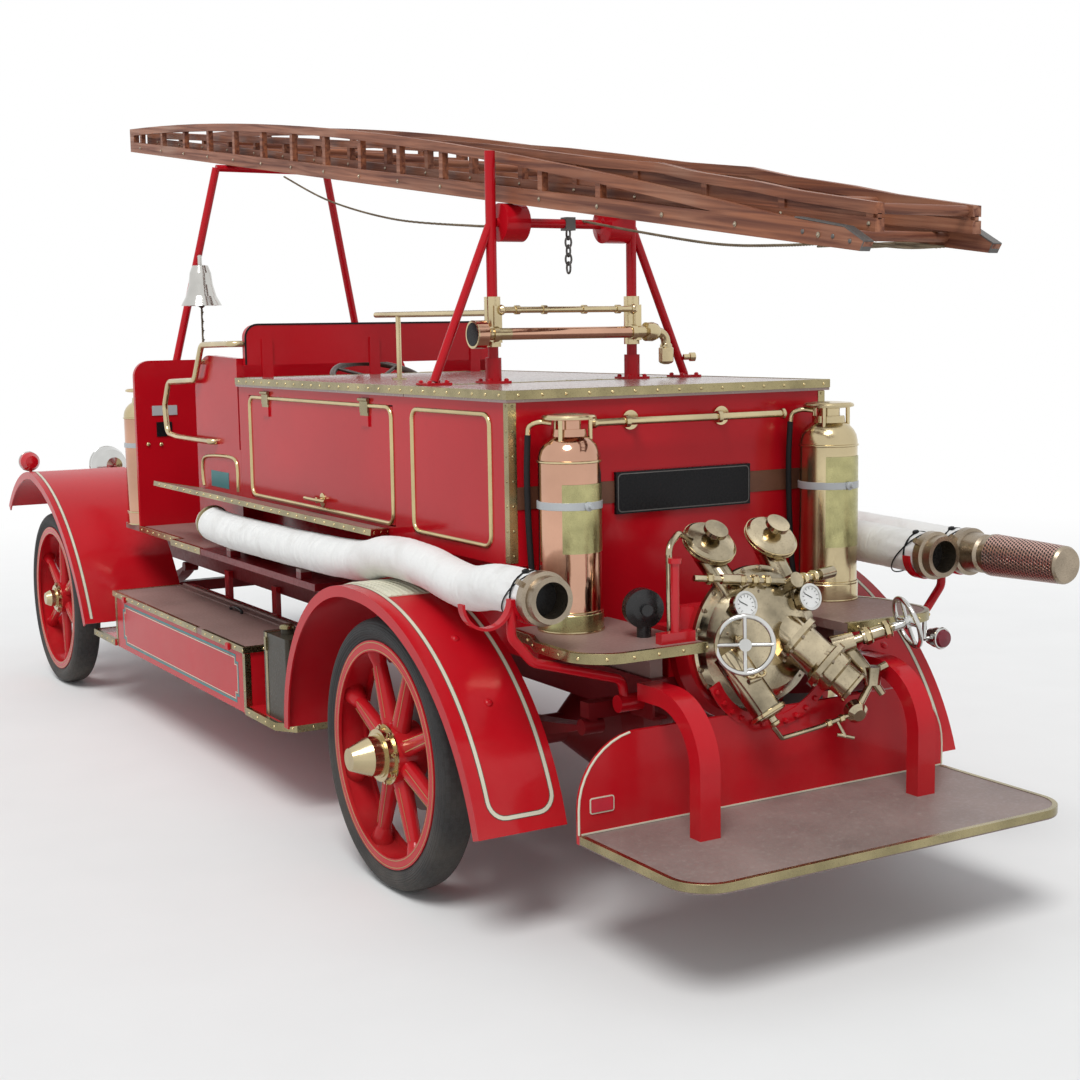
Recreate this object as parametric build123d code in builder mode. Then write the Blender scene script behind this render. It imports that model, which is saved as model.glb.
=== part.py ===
from build123d import *
from math import cos, pi, sin
import os

# Motor fire engine of the 1920s with a side-bench body and a pump at the rear.
# Every piece is drawn with the ground at Z = 0 and the rear axle at Y = 0.
# +X is the vehicle's left, -Y its front. place_in_frame then moves each piece
# so that the origin lies on the ground under the middle of the whole vehicle.

# Driving dimensions, in millimetres
WHEELBASE = 3560
TYRE_R = 406
TYRE_W = 118
RIM_R = 338
REAR_WHEEL_X = 769
FRONT_WHEEL_X = 800
KINGPIN_X = 690
FRAME_X = 355
FRAME_W = 48
FRAME_BOTTOM = 590
FRAME_TOP = 700
FRAME_FRONT = -4060
FRAME_REAR = 729
BODY_X = 565
BODY_FRONT = -1755
BODY_REAR = 340
BODY_FLOOR = 980
LOWER_BODY_X = 480
DECK_BOTTOM = 1440
DECK_TOP = 1472
WALL = 20
DASH_Y = -2800
DASH_X = 655
FLOOR_TOP = 806
FLOOR_X = 655
SEAT_FRONT = -2257
SEAT_Z = 1195
FOOTBOARD_Z = 1014
FOOTBOARD_X = 697
BOX_X = 808
BOX_IN = 456
BOX_FRONT = -2705
BOX_REAR = -1140
BOX_TOP = 545
BOX_BOTTOM = 305
PLATFORM_Z = 336
SHELF_Z = 807
PUMP_Z = 775
GALLOWS_Y = -279
GALLOWS_X = 264
ROLLER_Z = 1975
LADDER_SLOPE = 0.138
HOSE_X = 680
OUTER_HOSE_X = 826
HOSE_R = 66
FRONT_AXLE_Y = -WHEELBASE
ORIGIN_Y = -1392.5
CLEAR = 6

os.makedirs("parts", exist_ok=True)


def place_in_frame(piece, name):
    """Moves a finished piece to the vehicle's frame and writes its file."""
    placed = piece.part.moved(Location((0, -ORIGIN_Y, 0)))
    placed.label = name
    export_step(placed, f"parts/{name}.step")


def block(x, y, z, mode=Mode.ADD):
    """A box between pairs of limits along X, Y and Z."""
    with Locations(((x[0] + x[1]) / 2, (y[0] + y[1]) / 2, (z[0] + z[1]) / 2)):
        Box(x[1] - x[0], y[1] - y[0], z[1] - z[0], mode=mode)


def rod(start, end, radius, end_radius=None, mode=Mode.ADD):
    """A round bar, or a taper where end_radius is given, between two points."""
    run = Vector(*end) - Vector(*start)
    with Locations(Plane(origin=start, z_dir=run)):
        if end_radius is None:
            Cylinder(radius, run.length, align=(Align.CENTER, Align.CENTER, Align.MIN), mode=mode)
        else:
            Cone(radius, end_radius, run.length, align=(Align.CENTER, Align.CENTER, Align.MIN), mode=mode)


def turned(at, along, outline, mode=Mode.ADD):
    """A turned piece from a closed outline of (radius, distance along) points."""
    axis = Vector(*along).normalized()
    side = axis.cross(Vector(0, 0, 1) if abs(axis.Z) < 0.9 else Vector(0, 1, 0)).normalized()
    with BuildSketch(Plane(origin=at, x_dir=side, z_dir=side.cross(axis))) as section:
        with BuildLine():
            Polyline(*outline, close=True)
        make_face()
    revolve(section.sketch, axis=Axis(at, axis), mode=mode)


def pipe(points, radius, bend, hollow=0):
    """A round tube along straight runs joined by arcs."""
    with BuildLine() as route:
        FilletPolyline(*points, radius=bend) if len(points) > 2 else Line(*points)
    with BuildSketch(Plane(origin=route.line @ 0, z_dir=route.line % 0)) as section:
        Circle(radius)
        if hollow:
            Circle(hollow, mode=Mode.SUBTRACT)
    sweep(section.sketch, path=route.line)


# Chassis frame: two channel rails, their dumb irons and the cross members
CHANNEL = 8
IRON_ROOT = FRAME_FRONT + 120
with BuildPart() as frame:
    block((FRAME_X - FRAME_W, FRAME_X), (IRON_ROOT, FRAME_REAR), (FRAME_BOTTOM, FRAME_TOP))
    block((FRAME_X - FRAME_W, FRAME_X - CHANNEL), (IRON_ROOT + 30, FRAME_REAR + 1),
          (FRAME_BOTTOM + CHANNEL, FRAME_TOP - CHANNEL), Mode.SUBTRACT)
    with BuildSketch(Plane.YZ.offset(FRAME_X - FRAME_W)):
        with BuildLine():
            Polyline((IRON_ROOT, FRAME_TOP), (IRON_ROOT, FRAME_BOTTOM), (-4040, FRAME_BOTTOM), (-4060, 562),
                     (-4084, 562), (-4084, 600), (-4040, 660), close=True)
        make_face()
    extrude(amount=FRAME_W)
    mirror(about=Plane.YZ)
    for member_y in (-3955, -3050, -2100, -1100, -150, 600):
        block((-FRAME_X + CHANNEL, FRAME_X - CHANNEL), (member_y - 35, member_y + 35),
              (FRAME_BOTTOM + CHANNEL, FRAME_TOP - 20))

# Springs and axles: name of the axle, its Y, spring X, half length, leaf pack height over the axle
SPRINGS = (
    ("front", FRONT_AXLE_Y, 331, 450, 430),
    ("rear", 0, 470, 600, 462),
)
SPRING_W = 60
LEAF_PACK = 58
EYE_Z = 560
with BuildPart() as springs:
    for _, axle_y, spring_x, reach, seat_z in SPRINGS:
        with BuildSketch(Plane.YZ.offset(spring_x - SPRING_W / 2)):
            with BuildLine():
                ThreePointArc((axle_y - reach, EYE_Z), (axle_y, seat_z), (axle_y + reach, EYE_Z))
                Line((axle_y + reach, EYE_Z), (axle_y + reach, EYE_Z + 12))
                ThreePointArc((axle_y + reach, EYE_Z + 12), (axle_y, seat_z + LEAF_PACK), (axle_y - reach, EYE_Z + 12))
                Line((axle_y - reach, EYE_Z + 12), (axle_y - reach, EYE_Z))
            make_face()
        extrude(amount=SPRING_W)
        for end in (-1, 1):
            eye_y = axle_y + end * reach
            rod((spring_x - SPRING_W / 2 - 2, eye_y, EYE_Z + 6), (spring_x + SPRING_W / 2 + 2, eye_y, EYE_Z + 6), 22)
            hanger_top = FRAME_BOTTOM if spring_x < FRAME_X else FRAME_BOTTOM + 12
            block((spring_x - 12, spring_x + 12), (eye_y - 16, eye_y + 16), (EYE_Z + 8, hanger_top))
            if spring_x > FRAME_X:
                block((FRAME_X, spring_x + 20), (eye_y - 22, eye_y + 22), (FRAME_BOTTOM, FRAME_BOTTOM + 44))
    mirror(about=Plane.YZ)

STUB_R = 26
BORE_R = 26.5
with BuildPart() as axles:
    # Front beam with the eyes that the kingpins pass through
    block((-KINGPIN_X + 20, KINGPIN_X - 20), (FRONT_AXLE_Y - 26, FRONT_AXLE_Y + 26), (378, 430))
    for side in (-1, 1):
        rod((side * KINGPIN_X, FRONT_AXLE_Y, 366), (side * KINGPIN_X, FRONT_AXLE_Y, 444), 30)
        rod((side * KINGPIN_X, FRONT_AXLE_Y, 334), (side * KINGPIN_X, FRONT_AXLE_Y, 476), 12)
    # Rear casing with the bevel housing in the middle, spring pads and the stubs for the wheels
    turned((-632, 0, TYRE_R), (1, 0, 0),
           ((0, -90), (STUB_R, -90), (STUB_R, 0), (62, 0), (62, 20), (46, 40), (46, 430), (150, 560), (165, 632),
            (150, 704), (46, 834), (46, 1224), (62, 1244), (62, 1264), (STUB_R, 1264), (STUB_R, 1354), (0, 1354)))
    for side in (-1, 1):
        inner, outer = sorted((side * 440, side * 500))
        block((inner, outer), (-60, 60), (TYRE_R, 462))

# Steering knuckles: a fork round the axle eye with the stub for the wheel
FORK_R = 30
PIN_FIT_R = 12.05
FORK_WEB_X = 37
STUB_END = FRONT_WHEEL_X - 65


def steering_knuckle(side):
    with BuildPart() as knuckle:
        for low, high in ((339, 361), (449, 471)):
            rod((side * KINGPIN_X, FRONT_AXLE_Y, low), (side * KINGPIN_X, FRONT_AXLE_Y, high), FORK_R)
            inner, outer = sorted((side * KINGPIN_X, side * (KINGPIN_X + FORK_WEB_X + 2)))
            block((inner, outer), (FRONT_AXLE_Y - 28, FRONT_AXLE_Y + 28), (low, high))
        inner, outer = sorted((side * (KINGPIN_X + FORK_WEB_X), side * (STUB_END - 4)))
        block((inner, outer), (FRONT_AXLE_Y - 28, FRONT_AXLE_Y + 28), (339, 471))
        rod((side * (STUB_END - 6), FRONT_AXLE_Y, TYRE_R), (side * STUB_END, FRONT_AXLE_Y, TYRE_R), 34)
        rod((side * STUB_END, FRONT_AXLE_Y, TYRE_R), (side * (STUB_END + 80), FRONT_AXLE_Y, TYRE_R), STUB_R)
        rod((side * KINGPIN_X, FRONT_AXLE_Y, 330), (side * KINGPIN_X, FRONT_AXLE_Y, 480), PIN_FIT_R,
            mode=Mode.SUBTRACT)
        # Steering arm, pointing back
        rod((side * (KINGPIN_X + 25), FRONT_AXLE_Y + 26, 352), (side * (KINGPIN_X - 25), FRONT_AXLE_Y + 190, 352), 12)
        rod((side * (KINGPIN_X - 25), FRONT_AXLE_Y + 190, 336), (side * (KINGPIN_X - 25), FRONT_AXLE_Y + 190, 368), 20)
    return knuckle


# Wheels: cast spoked centre with its hub, and for the rear its brake drum
WHEEL_STYLES = {
    # spokes, spoke root radius, hub outline of (radius, distance outboard)
    "front": (6, 24, ((0, -60), (72, -60), (72, 34), (60, 34), (60, 50), (40, 50), (38, 74),
                      (27, 96), (0, 96))),
    "rear": (8, 30, ((0, -132), (182, -132), (182, -66), (90, -60), (90, 40), (78, 40), (78, 62), (60, 62),
                     (58, 96), (33, 155), (0, 155))),
}
RIM_W = 104
RIM_BAND = 18
BORE_DEPTH = 95


def spoked_wheel(style):
    spokes, root_r, hub = WHEEL_STYLES[style]
    band = RIM_R - RIM_BAND
    with BuildPart() as wheel:
        turned((0, 0, 0), (1, 0, 0), hub)
        turned((0, 0, 0), (1, 0, 0), ((RIM_R, -RIM_W / 2), (RIM_R, RIM_W / 2), (band - 14, RIM_W / 2),
                                      (band - 14, RIM_W / 2 - 10), (band, RIM_W / 2 - 14),
                                      (band, -RIM_W / 2 + 14), (band - 14, -RIM_W / 2 + 10),
                                      (band - 14, -RIM_W / 2)))
        for spoke in range(spokes):
            turn = 2 * pi * (spoke + 0.5) / spokes
            out = Vector(0, cos(turn), sin(turn))
            rod(tuple(out * 50), tuple(out * (band - 50)), root_r, root_r * 0.72)
            rod(tuple(out * (band - 50.5)), tuple(out * (band + 5)), root_r * 0.72, root_r * 1.25)
        rod((hub[0][1] - 1, 0, 0), (hub[0][1] + BORE_DEPTH, 0, 0), BORE_R, mode=Mode.SUBTRACT)
    return wheel.part


def tyre_ring():
    half = TYRE_W / 2
    with BuildPart() as tyre:
        with BuildSketch(Plane.XY):
            with BuildLine():
                Polyline((-half + 12, RIM_R), (half - 12, RIM_R), (half - 1, RIM_R + 24))
                ThreePointArc((half - 1, RIM_R + 24), (half - 6, TYRE_R - 18), (half - 30, TYRE_R - 3))
                ThreePointArc((half - 30, TYRE_R - 3), (0, TYRE_R), (-half + 30, TYRE_R - 3))
                ThreePointArc((-half + 30, TYRE_R - 3), (-half + 6, TYRE_R - 18), (-half + 1, RIM_R + 24))
                Line((-half + 1, RIM_R + 24), (-half + 12, RIM_R))
            make_face()
        revolve(axis=Axis.X)
    return tyre.part


# name, side, wheel centre X, axle Y
WHEELS = (
    ("front_left", 1, FRONT_WHEEL_X, FRONT_AXLE_Y),
    ("front_right", -1, FRONT_WHEEL_X, FRONT_AXLE_Y),
    ("rear_left", 1, REAR_WHEEL_X, 0),
    ("rear_right", -1, REAR_WHEEL_X, 0),
)

# Engine as one block, and the radiator in front of it
with BuildPart() as engine:
    block((-170, 170), (-3780, -3095), (FRAME_BOTTOM - 60, 1100))

RADIATOR_Y = -3960
RADIATOR_Z = FRAME_TOP - 20
with BuildPart() as radiator:
    with BuildSketch(Plane.XZ.offset(-RADIATOR_Y - 110)):
        with BuildLine():
            Polyline((-290, RADIATOR_Z), (290, RADIATOR_Z), (290, 1150))
            ThreePointArc((290, 1150), (0, 1330), (-290, 1150))
            Line((-290, 1150), (-290, RADIATOR_Z))
        make_face()
    extrude(amount=110)
    fillet(radiator.edges().filter_by(Axis.Y), 20)
    block((-240, 240), (RADIATOR_Y - 1, RADIATOR_Y + 25), (740, 1130), Mode.SUBTRACT)
    for fin in range(15):
        fin_x = -224 + fin * 32
        block((fin_x - 3, fin_x + 3), (RADIATOR_Y + 6, RADIATOR_Y + 26), (738, 1132))
    rod((0, RADIATOR_Y + 55, 1310), (0, RADIATOR_Y + 55, 1372), 34)

BONNET_FRONT = RADIATOR_Y + 118
BONNET_REAR = -2886
BONNET_X = 285
BONNET_SHEET = 5
BONNET_TOP = 1300
BONNET_SIDE_Z = 1160
BONNET_SHOULDER = (210, 1254)
SHEET_SHOULDER = (207, 1249)


def bonnet_half(side):
    """The lifting top of the bonnet, from the centre hinge to the side panel's edge."""
    crown = BONNET_TOP - 2
    with BuildPart() as half:
        with BuildSketch(Plane.XZ.offset(-BONNET_FRONT)):
            with BuildLine():
                Line((side * 4, BONNET_TOP), (side * 40, crown))
                ThreePointArc((side * 40, crown), (side * BONNET_SHOULDER[0], BONNET_SHOULDER[1]),
                              (side * BONNET_X, BONNET_SIDE_Z))
                Line((side * BONNET_X, BONNET_SIDE_Z), (side * (BONNET_X - BONNET_SHEET), BONNET_SIDE_Z))
                ThreePointArc((side * (BONNET_X - BONNET_SHEET), BONNET_SIDE_Z),
                              (side * SHEET_SHOULDER[0], SHEET_SHOULDER[1]), (side * 40, crown - BONNET_SHEET))
                Polyline((side * 40, crown - BONNET_SHEET), (side * 4, BONNET_TOP - BONNET_SHEET),
                         (side * 4, BONNET_TOP))
            make_face()
        extrude(amount=BONNET_REAR - BONNET_FRONT, dir=(0, 1, 0))
    return half


# Fixed sides of the bonnet with their louvres, standing on the frame rails
LOUVRES = 14
with BuildPart() as bonnet_sides:
    block((BONNET_X - BONNET_SHEET, BONNET_X), (BONNET_FRONT, BONNET_REAR), (FRAME_TOP, BONNET_SIDE_Z - CLEAR))
    block((BONNET_X - 1, FRAME_X - 33), (BONNET_FRONT, BONNET_REAR), (FRAME_TOP, FRAME_TOP + BONNET_SHEET))
    for louvre in range(LOUVRES):
        louvre_y = BONNET_FRONT + 110 + louvre * 56
        with BuildSketch(Plane.XY.offset(790)):
            with BuildLine():
                Polyline((BONNET_X - 1, louvre_y), (BONNET_X - 1, louvre_y + 30), (BONNET_X + 9, louvre_y + 30),
                         (BONNET_X - 1, louvre_y))
            make_face()
        extrude(amount=270)
    mirror(about=Plane.YZ)

# Cab: the dash across the vehicle, the seat box and its side arms
ARM_TOP = 1556
ARM_REAR = -1770
with BuildPart() as cab_body:
    block((-DASH_X, DASH_X), (DASH_Y - 12, DASH_Y + 12), (FLOOR_TOP, 1530))
    fillet(cab_body.edges().filter_by(Axis.Y).group_by(Axis.Z)[-1], 70)
    # Scuttle between the bonnet and the dash
    with BuildSketch(Plane.XZ.offset(-BONNET_REAR - CLEAR)):
        with BuildLine():
            Polyline((-BONNET_X, FLOOR_TOP), (BONNET_X, FLOOR_TOP), (BONNET_X, BONNET_SIDE_Z))
            ThreePointArc((BONNET_X, BONNET_SIDE_Z), BONNET_SHOULDER, (40, BONNET_TOP - 2))
            Line((40, BONNET_TOP - 2), (-40, BONNET_TOP - 2))
            ThreePointArc((-40, BONNET_TOP - 2), (-BONNET_SHOULDER[0], BONNET_SHOULDER[1]),
                          (-BONNET_X, BONNET_SIDE_Z))
            Line((-BONNET_X, BONNET_SIDE_Z), (-BONNET_X, FLOOR_TOP))
        make_face()
        with Locations((0, (FLOOR_TOP + BONNET_SIDE_Z) / 2)):
            Rectangle(2 * BONNET_X - 60, BONNET_SIDE_Z - FLOOR_TOP + 2, mode=Mode.SUBTRACT)
    extrude(amount=DASH_Y - 11 - BONNET_REAR - CLEAR, dir=(0, 1, 0))
    block((-BODY_X, BODY_X), (SEAT_FRONT, BODY_FRONT - 1), (FLOOR_TOP, SEAT_Z))
    block((-BODY_X + WALL, BODY_X - WALL), (SEAT_FRONT + WALL, BODY_FRONT), (FLOOR_TOP - 1, SEAT_Z - WALL),
          Mode.SUBTRACT)
    for side in (-1, 1):
        inner, outer = sorted((side * (BODY_X - 30), side * BODY_X))
        with BuildSketch(Plane.YZ.offset(inner)):
            with BuildLine():
                Polyline((SEAT_FRONT, SEAT_Z - 1), (ARM_REAR, SEAT_Z - 1), (ARM_REAR, ARM_TOP - 10),
                         (SEAT_FRONT + 190, ARM_TOP))
                ThreePointArc((SEAT_FRONT + 190, ARM_TOP), (SEAT_FRONT + 50, ARM_TOP - 50), (SEAT_FRONT, 1420))
                Line((SEAT_FRONT, 1420), (SEAT_FRONT, SEAT_Z - 1))
            make_face()
        extrude(amount=30)

# Floor with the ledges that run back beside the body, and saddles for the suction hoses
HOSE_SADDLES = (-1593, -910)
with BuildPart() as floor_boards:
    block((-FLOOR_X, FLOOR_X), (DASH_Y - 12, SEAT_FRONT), (FLOOR_TOP - 24, FLOOR_TOP))
    for side in (-1, 1):
        inner, outer = sorted((side * LOWER_BODY_X, side * (FLOOR_X + 40)))
        block((inner, outer), (SEAT_FRONT - 1, -760), (FLOOR_TOP - 24, FLOOR_TOP))
        # Ledge in front of the dash for the third extinguisher
        inner, outer = sorted((side * (BONNET_X + 12), side * FLOOR_X))
        block((inner, outer), (-3010, DASH_Y - 11), (FLOOR_TOP - 24, FLOOR_TOP))
        for saddle_y in HOSE_SADDLES:
            inner, outer = sorted((side * (HOSE_X - 30), side * (HOSE_X + 10)))
            block((inner, outer), (saddle_y - 20, saddle_y + 20), (FLOOR_TOP - 1, FLOOR_TOP + 34))
    # The right ledge's brackets reach out under the second hose
    for saddle_y in HOSE_SADDLES:
        block((-OUTER_HOSE_X - 34, -FLOOR_X - 39), (saddle_y - 20, saddle_y + 20), (FLOOR_TOP - 24, FLOOR_TOP))
        block((-OUTER_HOSE_X - 20, -OUTER_HOSE_X + 20), (saddle_y - 20, saddle_y + 20), (FLOOR_TOP - 1, FLOOR_TOP + 34))

with BuildPart() as seat_cushion:
    block((-BODY_X + 34, BODY_X - 34), (SEAT_FRONT + 10, BODY_FRONT - 40), (SEAT_Z, SEAT_Z + 110))
    fillet(seat_cushion.edges().filter_by(Axis.X), 30)

with BuildPart() as backboard:
    block((-540, 540), (-1765, -1730), (1520, 1675))
    fillet(backboard.edges().filter_by(Axis.Y).group_by(Axis.Z)[-1], 50)
    for support_x in (-455, 0, 455):
        block((support_x - 22, support_x + 22), (-1731, -1722), (DECK_TOP, 1620))

# Body: a hollow hose box on a narrower lower part, with a locker opening in each side
LOCKER = ((-1650, -395), (1024, 1410))
with BuildPart() as hose_body:
    block((-BODY_X, BODY_X), (BODY_FRONT, BODY_REAR), (BODY_FLOOR, DECK_BOTTOM))
    block((-LOWER_BODY_X, LOWER_BODY_X), (BODY_FRONT, BODY_REAR), (FRAME_TOP, BODY_FLOOR))
    block((-BODY_X + WALL, BODY_X - WALL), (BODY_FRONT + WALL, BODY_REAR - WALL),
          (BODY_FLOOR + WALL, DECK_BOTTOM + 1), Mode.SUBTRACT)
    block((-LOWER_BODY_X + WALL, LOWER_BODY_X - WALL), (BODY_FRONT + WALL, BODY_REAR - WALL),
          (FRAME_TOP - 1, BODY_FLOOR), Mode.SUBTRACT)
    block((-BODY_X - 1, BODY_X + 1), LOCKER[0], LOCKER[1], Mode.SUBTRACT)

with BuildPart() as deck:
    block((-BODY_X - 12, BODY_X + 12), (BODY_FRONT, -293), (DECK_BOTTOM, DECK_TOP))
    block((-BODY_X - 12, BODY_X + 12), (-289, BODY_REAR + 12), (DECK_BOTTOM, DECK_TOP))
    block((-400, 400), (-293, -289), (DECK_BOTTOM, DECK_TOP - 10))

HINGE_R = 6
HINGE_LEAF = 6
HINGE_X = BODY_X + 2 + HINGE_R
HINGE_Z = LOCKER[1][1] + 12
DOOR_GAP = 5


def locker_door(side):
    (front, rear), (low, high) = LOCKER
    with BuildPart() as door:
        inner, outer = sorted((side * (BODY_X - WALL), side * BODY_X))
        block((inner, outer), (front + DOOR_GAP, rear - DOOR_GAP), (low + DOOR_GAP, high - DOOR_GAP))
        for hinge_y in (front + 180, rear - 203):
            rod((side * HINGE_X, hinge_y - 35, HINGE_Z), (side * HINGE_X, hinge_y + 35, HINGE_Z), HINGE_R)
            inner, outer = sorted((side * (BODY_X - 1), side * (BODY_X + HINGE_LEAF)))
            block((inner, outer), (hinge_y - 30, hinge_y + 30), (high - 75, high - 12))
            inner, outer = sorted((side * (BODY_X + 2), side * (BODY_X + 2 + HINGE_LEAF)))
            block((inner, outer), (hinge_y - 30, hinge_y + 30), (high - 30, HINGE_Z))
    return door


# Footboards for the crew, who sit along the edges of the deck; their outer edges are raised a little
FOOTBOARD_SLOPE = 0.15
FOOTBOARD_T = 18
FOOTBOARD_OUTLINE = ((0, -2190), (FOOTBOARD_X - BODY_X, -2440), (FOOTBOARD_X - BODY_X, -300), (0, -450))
with BuildPart() as footboards:
    board = Plane(origin=(BODY_X, 0, FOOTBOARD_Z), x_dir=(1, 0, FOOTBOARD_SLOPE), z_dir=(-FOOTBOARD_SLOPE, 0, 1))
    with BuildSketch(board):
        with BuildLine():
            Polyline(*FOOTBOARD_OUTLINE, close=True)
        make_face()
    extrude(amount=-FOOTBOARD_T)
    split(bisect_by=Plane.YZ.offset(BODY_X), keep=Keep.TOP)
    for bracket_y in (-2100, -1350, -560):
        with BuildSketch(Plane.XZ.offset(-bracket_y)):
            with BuildLine():
                Polyline((BODY_X, 982), (BODY_X, FOOTBOARD_Z - FOOTBOARD_T), (BODY_X + 40, FOOTBOARD_Z - 15),
                         (BODY_X + 40, 990), close=True)
            make_face()
        extrude(amount=10)
    mirror(about=Plane.YZ)

# Step boxes, each on its running board, with the lid hinged along the inner side
LID_HINGE_X = 512
LID_T = 21
BOX_WALL = 14
BOARD_X = BOX_X + 8
BOARD_T = 26
BOARD_FRONT = -3030
BOARD_REAR = -780
with BuildPart() as step_boxes:
    block((BOX_IN, BOX_X), (BOX_FRONT, BOX_REAR), (BOX_BOTTOM, BOX_TOP - LID_T - 1))
    block((BOX_IN + BOX_WALL, BOX_X - BOX_WALL), (BOX_FRONT + BOX_WALL, BOX_REAR - BOX_WALL),
          (BOX_BOTTOM + BOX_WALL, BOX_TOP), Mode.SUBTRACT)
    block((BOX_IN, LID_HINGE_X - 7), (BOX_FRONT, BOX_REAR), (BOX_TOP - LID_T - 2, BOX_TOP))
    with BuildSketch(Plane.XY.offset(BOX_BOTTOM)):
        with BuildLine():
            Polyline((BOX_IN + 50, BOARD_FRONT), (BOARD_X, BOARD_FRONT), (BOARD_X, BOX_FRONT),
                     (BOX_IN + 50, BOX_FRONT), close=True)
        make_face()
        with BuildLine():
            Polyline((BOX_IN + 50, BOX_REAR), (BOARD_X, BOX_REAR), (BOARD_X, BOARD_REAR - 70),
                     (BOARD_X - 50, BOARD_REAR), (BOX_IN + 50, BOARD_REAR), close=True)
        make_face()
    extrude(amount=BOARD_T)
    for bracket_y in (-2500, -1950, -1350):
        block((FRAME_X, BOX_IN + 1), (bracket_y - 25, bracket_y + 25), (BOX_BOTTOM + 60, BOX_BOTTOM + 100))
        block((FRAME_X, FRAME_X + 20), (bracket_y - 25, bracket_y + 25), (BOX_BOTTOM + 60, FRAME_BOTTOM + 30))
    mirror(about=Plane.YZ)

LID_HINGE_Z = BOX_TOP + 7


def step_box_lid(side):
    with BuildPart() as lid:
        inner, outer = sorted((side * LID_HINGE_X, side * (BOX_X + 8)))
        block((inner, outer), (BOX_FRONT - 6, BOX_REAR + 6), (BOX_TOP - LID_T, BOX_TOP))
        rod((side * LID_HINGE_X, BOX_FRONT + 40, LID_HINGE_Z), (side * LID_HINGE_X, BOX_REAR - 40, LID_HINGE_Z), 6)
        inner, outer = sorted((side * LID_HINGE_X, side * (LID_HINGE_X + 34)))
        block((inner, outer), (BOX_FRONT + 40, BOX_REAR - 40), (BOX_TOP - 1, BOX_TOP + 5))
    return lid


with BuildPart() as fuel_cans:
    block((625, 790), (-1012, -792), (BOX_BOTTOM + BOARD_T, 622))
    fillet(fuel_cans.edges().filter_by(Axis.Z), 16)
    rod((742, -900, 621), (742, -900, 646), 22)
    block((650, 700), (-906, -894), (621, 640))
    mirror(about=Plane.YZ)

# Wings: a bent sheet along two arcs that meet at the crest, wider than the tyre, with a lip on the outer edge
WING_SHEET = 6
WING_LIP = 34
FRONT_WING_X = (440, 900)
REAR_WING_X = (577, 848)
# Top lines as (y, z): foot, a point on the way, crest, a point on the way, foot
FRONT_WING = ((-4185, 800), (-4000, 935), (-3720, 998), (-3300, 850), (-2870, 385))
REAR_WING = ((-690, 353), (-545, 720), (-130, 888), (345, 740), (645, 319))


def wing_arcs(top_line):
    """The two arcs of a wing's top line."""
    return (Edge.make_three_point_arc(*top_line[:3]), Edge.make_three_point_arc(*top_line[2:]))


def below(top_line, depth):
    """The same line moved inwards by a depth."""
    moved = []
    for place, point in enumerate(top_line):
        arc = wing_arcs(top_line)[0 if place < 2 else 1]
        inward = Vector(0, -1, 0) if place == 2 else (arc.arc_center - Vector(*point)).normalized()
        shifted = Vector(*point) + inward * depth
        moved.append((shifted.X, shifted.Y))
    return moved


def top_of_arc(arc, y):
    """Height of the upper side of an arc at a place along the vehicle."""
    return arc.arc_center.Y + (arc.radius ** 2 - (y - arc.arc_center.X) ** 2) ** 0.5


def top_of_wing(top_line, y):
    """Height of a wing's top line at a place along the vehicle."""
    return top_of_arc(wing_arcs(top_line)[0 if y < top_line[2][0] else 1], y)


def wing(span, top_line):
    """The sheet of a wing with its outer lip turned down."""
    for low_x, high_x, depth in ((span[0], span[1], WING_SHEET), (span[1] - WING_SHEET, span[1], WING_LIP)):
        under = below(top_line, depth)
        with BuildSketch(Plane.YZ.offset(low_x)) as section:
            with BuildLine():
                ThreePointArc(*top_line[:3])
                ThreePointArc(*top_line[2:])
                Line(top_line[4], under[4])
                ThreePointArc(*under[2:])
                ThreePointArc(*under[:3])
                Line(under[0], top_line[0])
            make_face()
        extrude(section.sketch, amount=high_x - low_x)


STAY_R = 9
with BuildPart() as front_wings:
    wing(FRONT_WING_X, FRONT_WING)
    stay_z = FRONT_WING[2][1] - WING_SHEET - STAY_R + 1
    pipe(((FRAME_X - 20, FRONT_WING[2][0], FRAME_TOP), (FRAME_X - 20, FRONT_WING[2][0], stay_z - 160),
          (FRONT_WING_X[0] + 60, FRONT_WING[2][0], stay_z), (FRONT_WING_X[1] - 20, FRONT_WING[2][0], stay_z)), STAY_R, 40)
    mirror(about=Plane.YZ)

with BuildPart() as rear_wings:
    wing(REAR_WING_X, REAR_WING)
    crest_y, crest_z = REAR_WING[2]
    block((LOWER_BODY_X, REAR_WING_X[0] + 40), (crest_y - 20, crest_y + 20), (crest_z - 26, crest_z - WING_SHEET + 1))
    mirror(about=Plane.YZ)

# Rear step with its upright apron, the bent bars that carry it and the pump's mount
PLATFORM = (800, 1305)
PLATFORM_X = 636
PLATFORM_T = 24
APRON_T = 14
APRON_Z = 592
with BuildPart() as rear_step:
    with BuildSketch(Plane.XY.offset(PLATFORM_Z - PLATFORM_T)) as plan:
        with Locations((0, (PLATFORM[0] + PLATFORM[1]) / 2)):
            Rectangle(2 * PLATFORM_X, PLATFORM[1] - PLATFORM[0])
        fillet(plan.vertices().group_by(Axis.Y)[-1], 110)
    extrude(amount=PLATFORM_T)
    with BuildSketch(Plane.XZ.offset(-PLATFORM[0])) as apron:
        with Locations((0, (PLATFORM_Z - PLATFORM_T + APRON_Z) / 2)):
            Rectangle(2 * PLATFORM_X, APRON_Z - PLATFORM_Z + PLATFORM_T)
        fillet(apron.vertices().group_by(Axis.Y)[-1], 190)
    extrude(amount=APRON_T)

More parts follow.
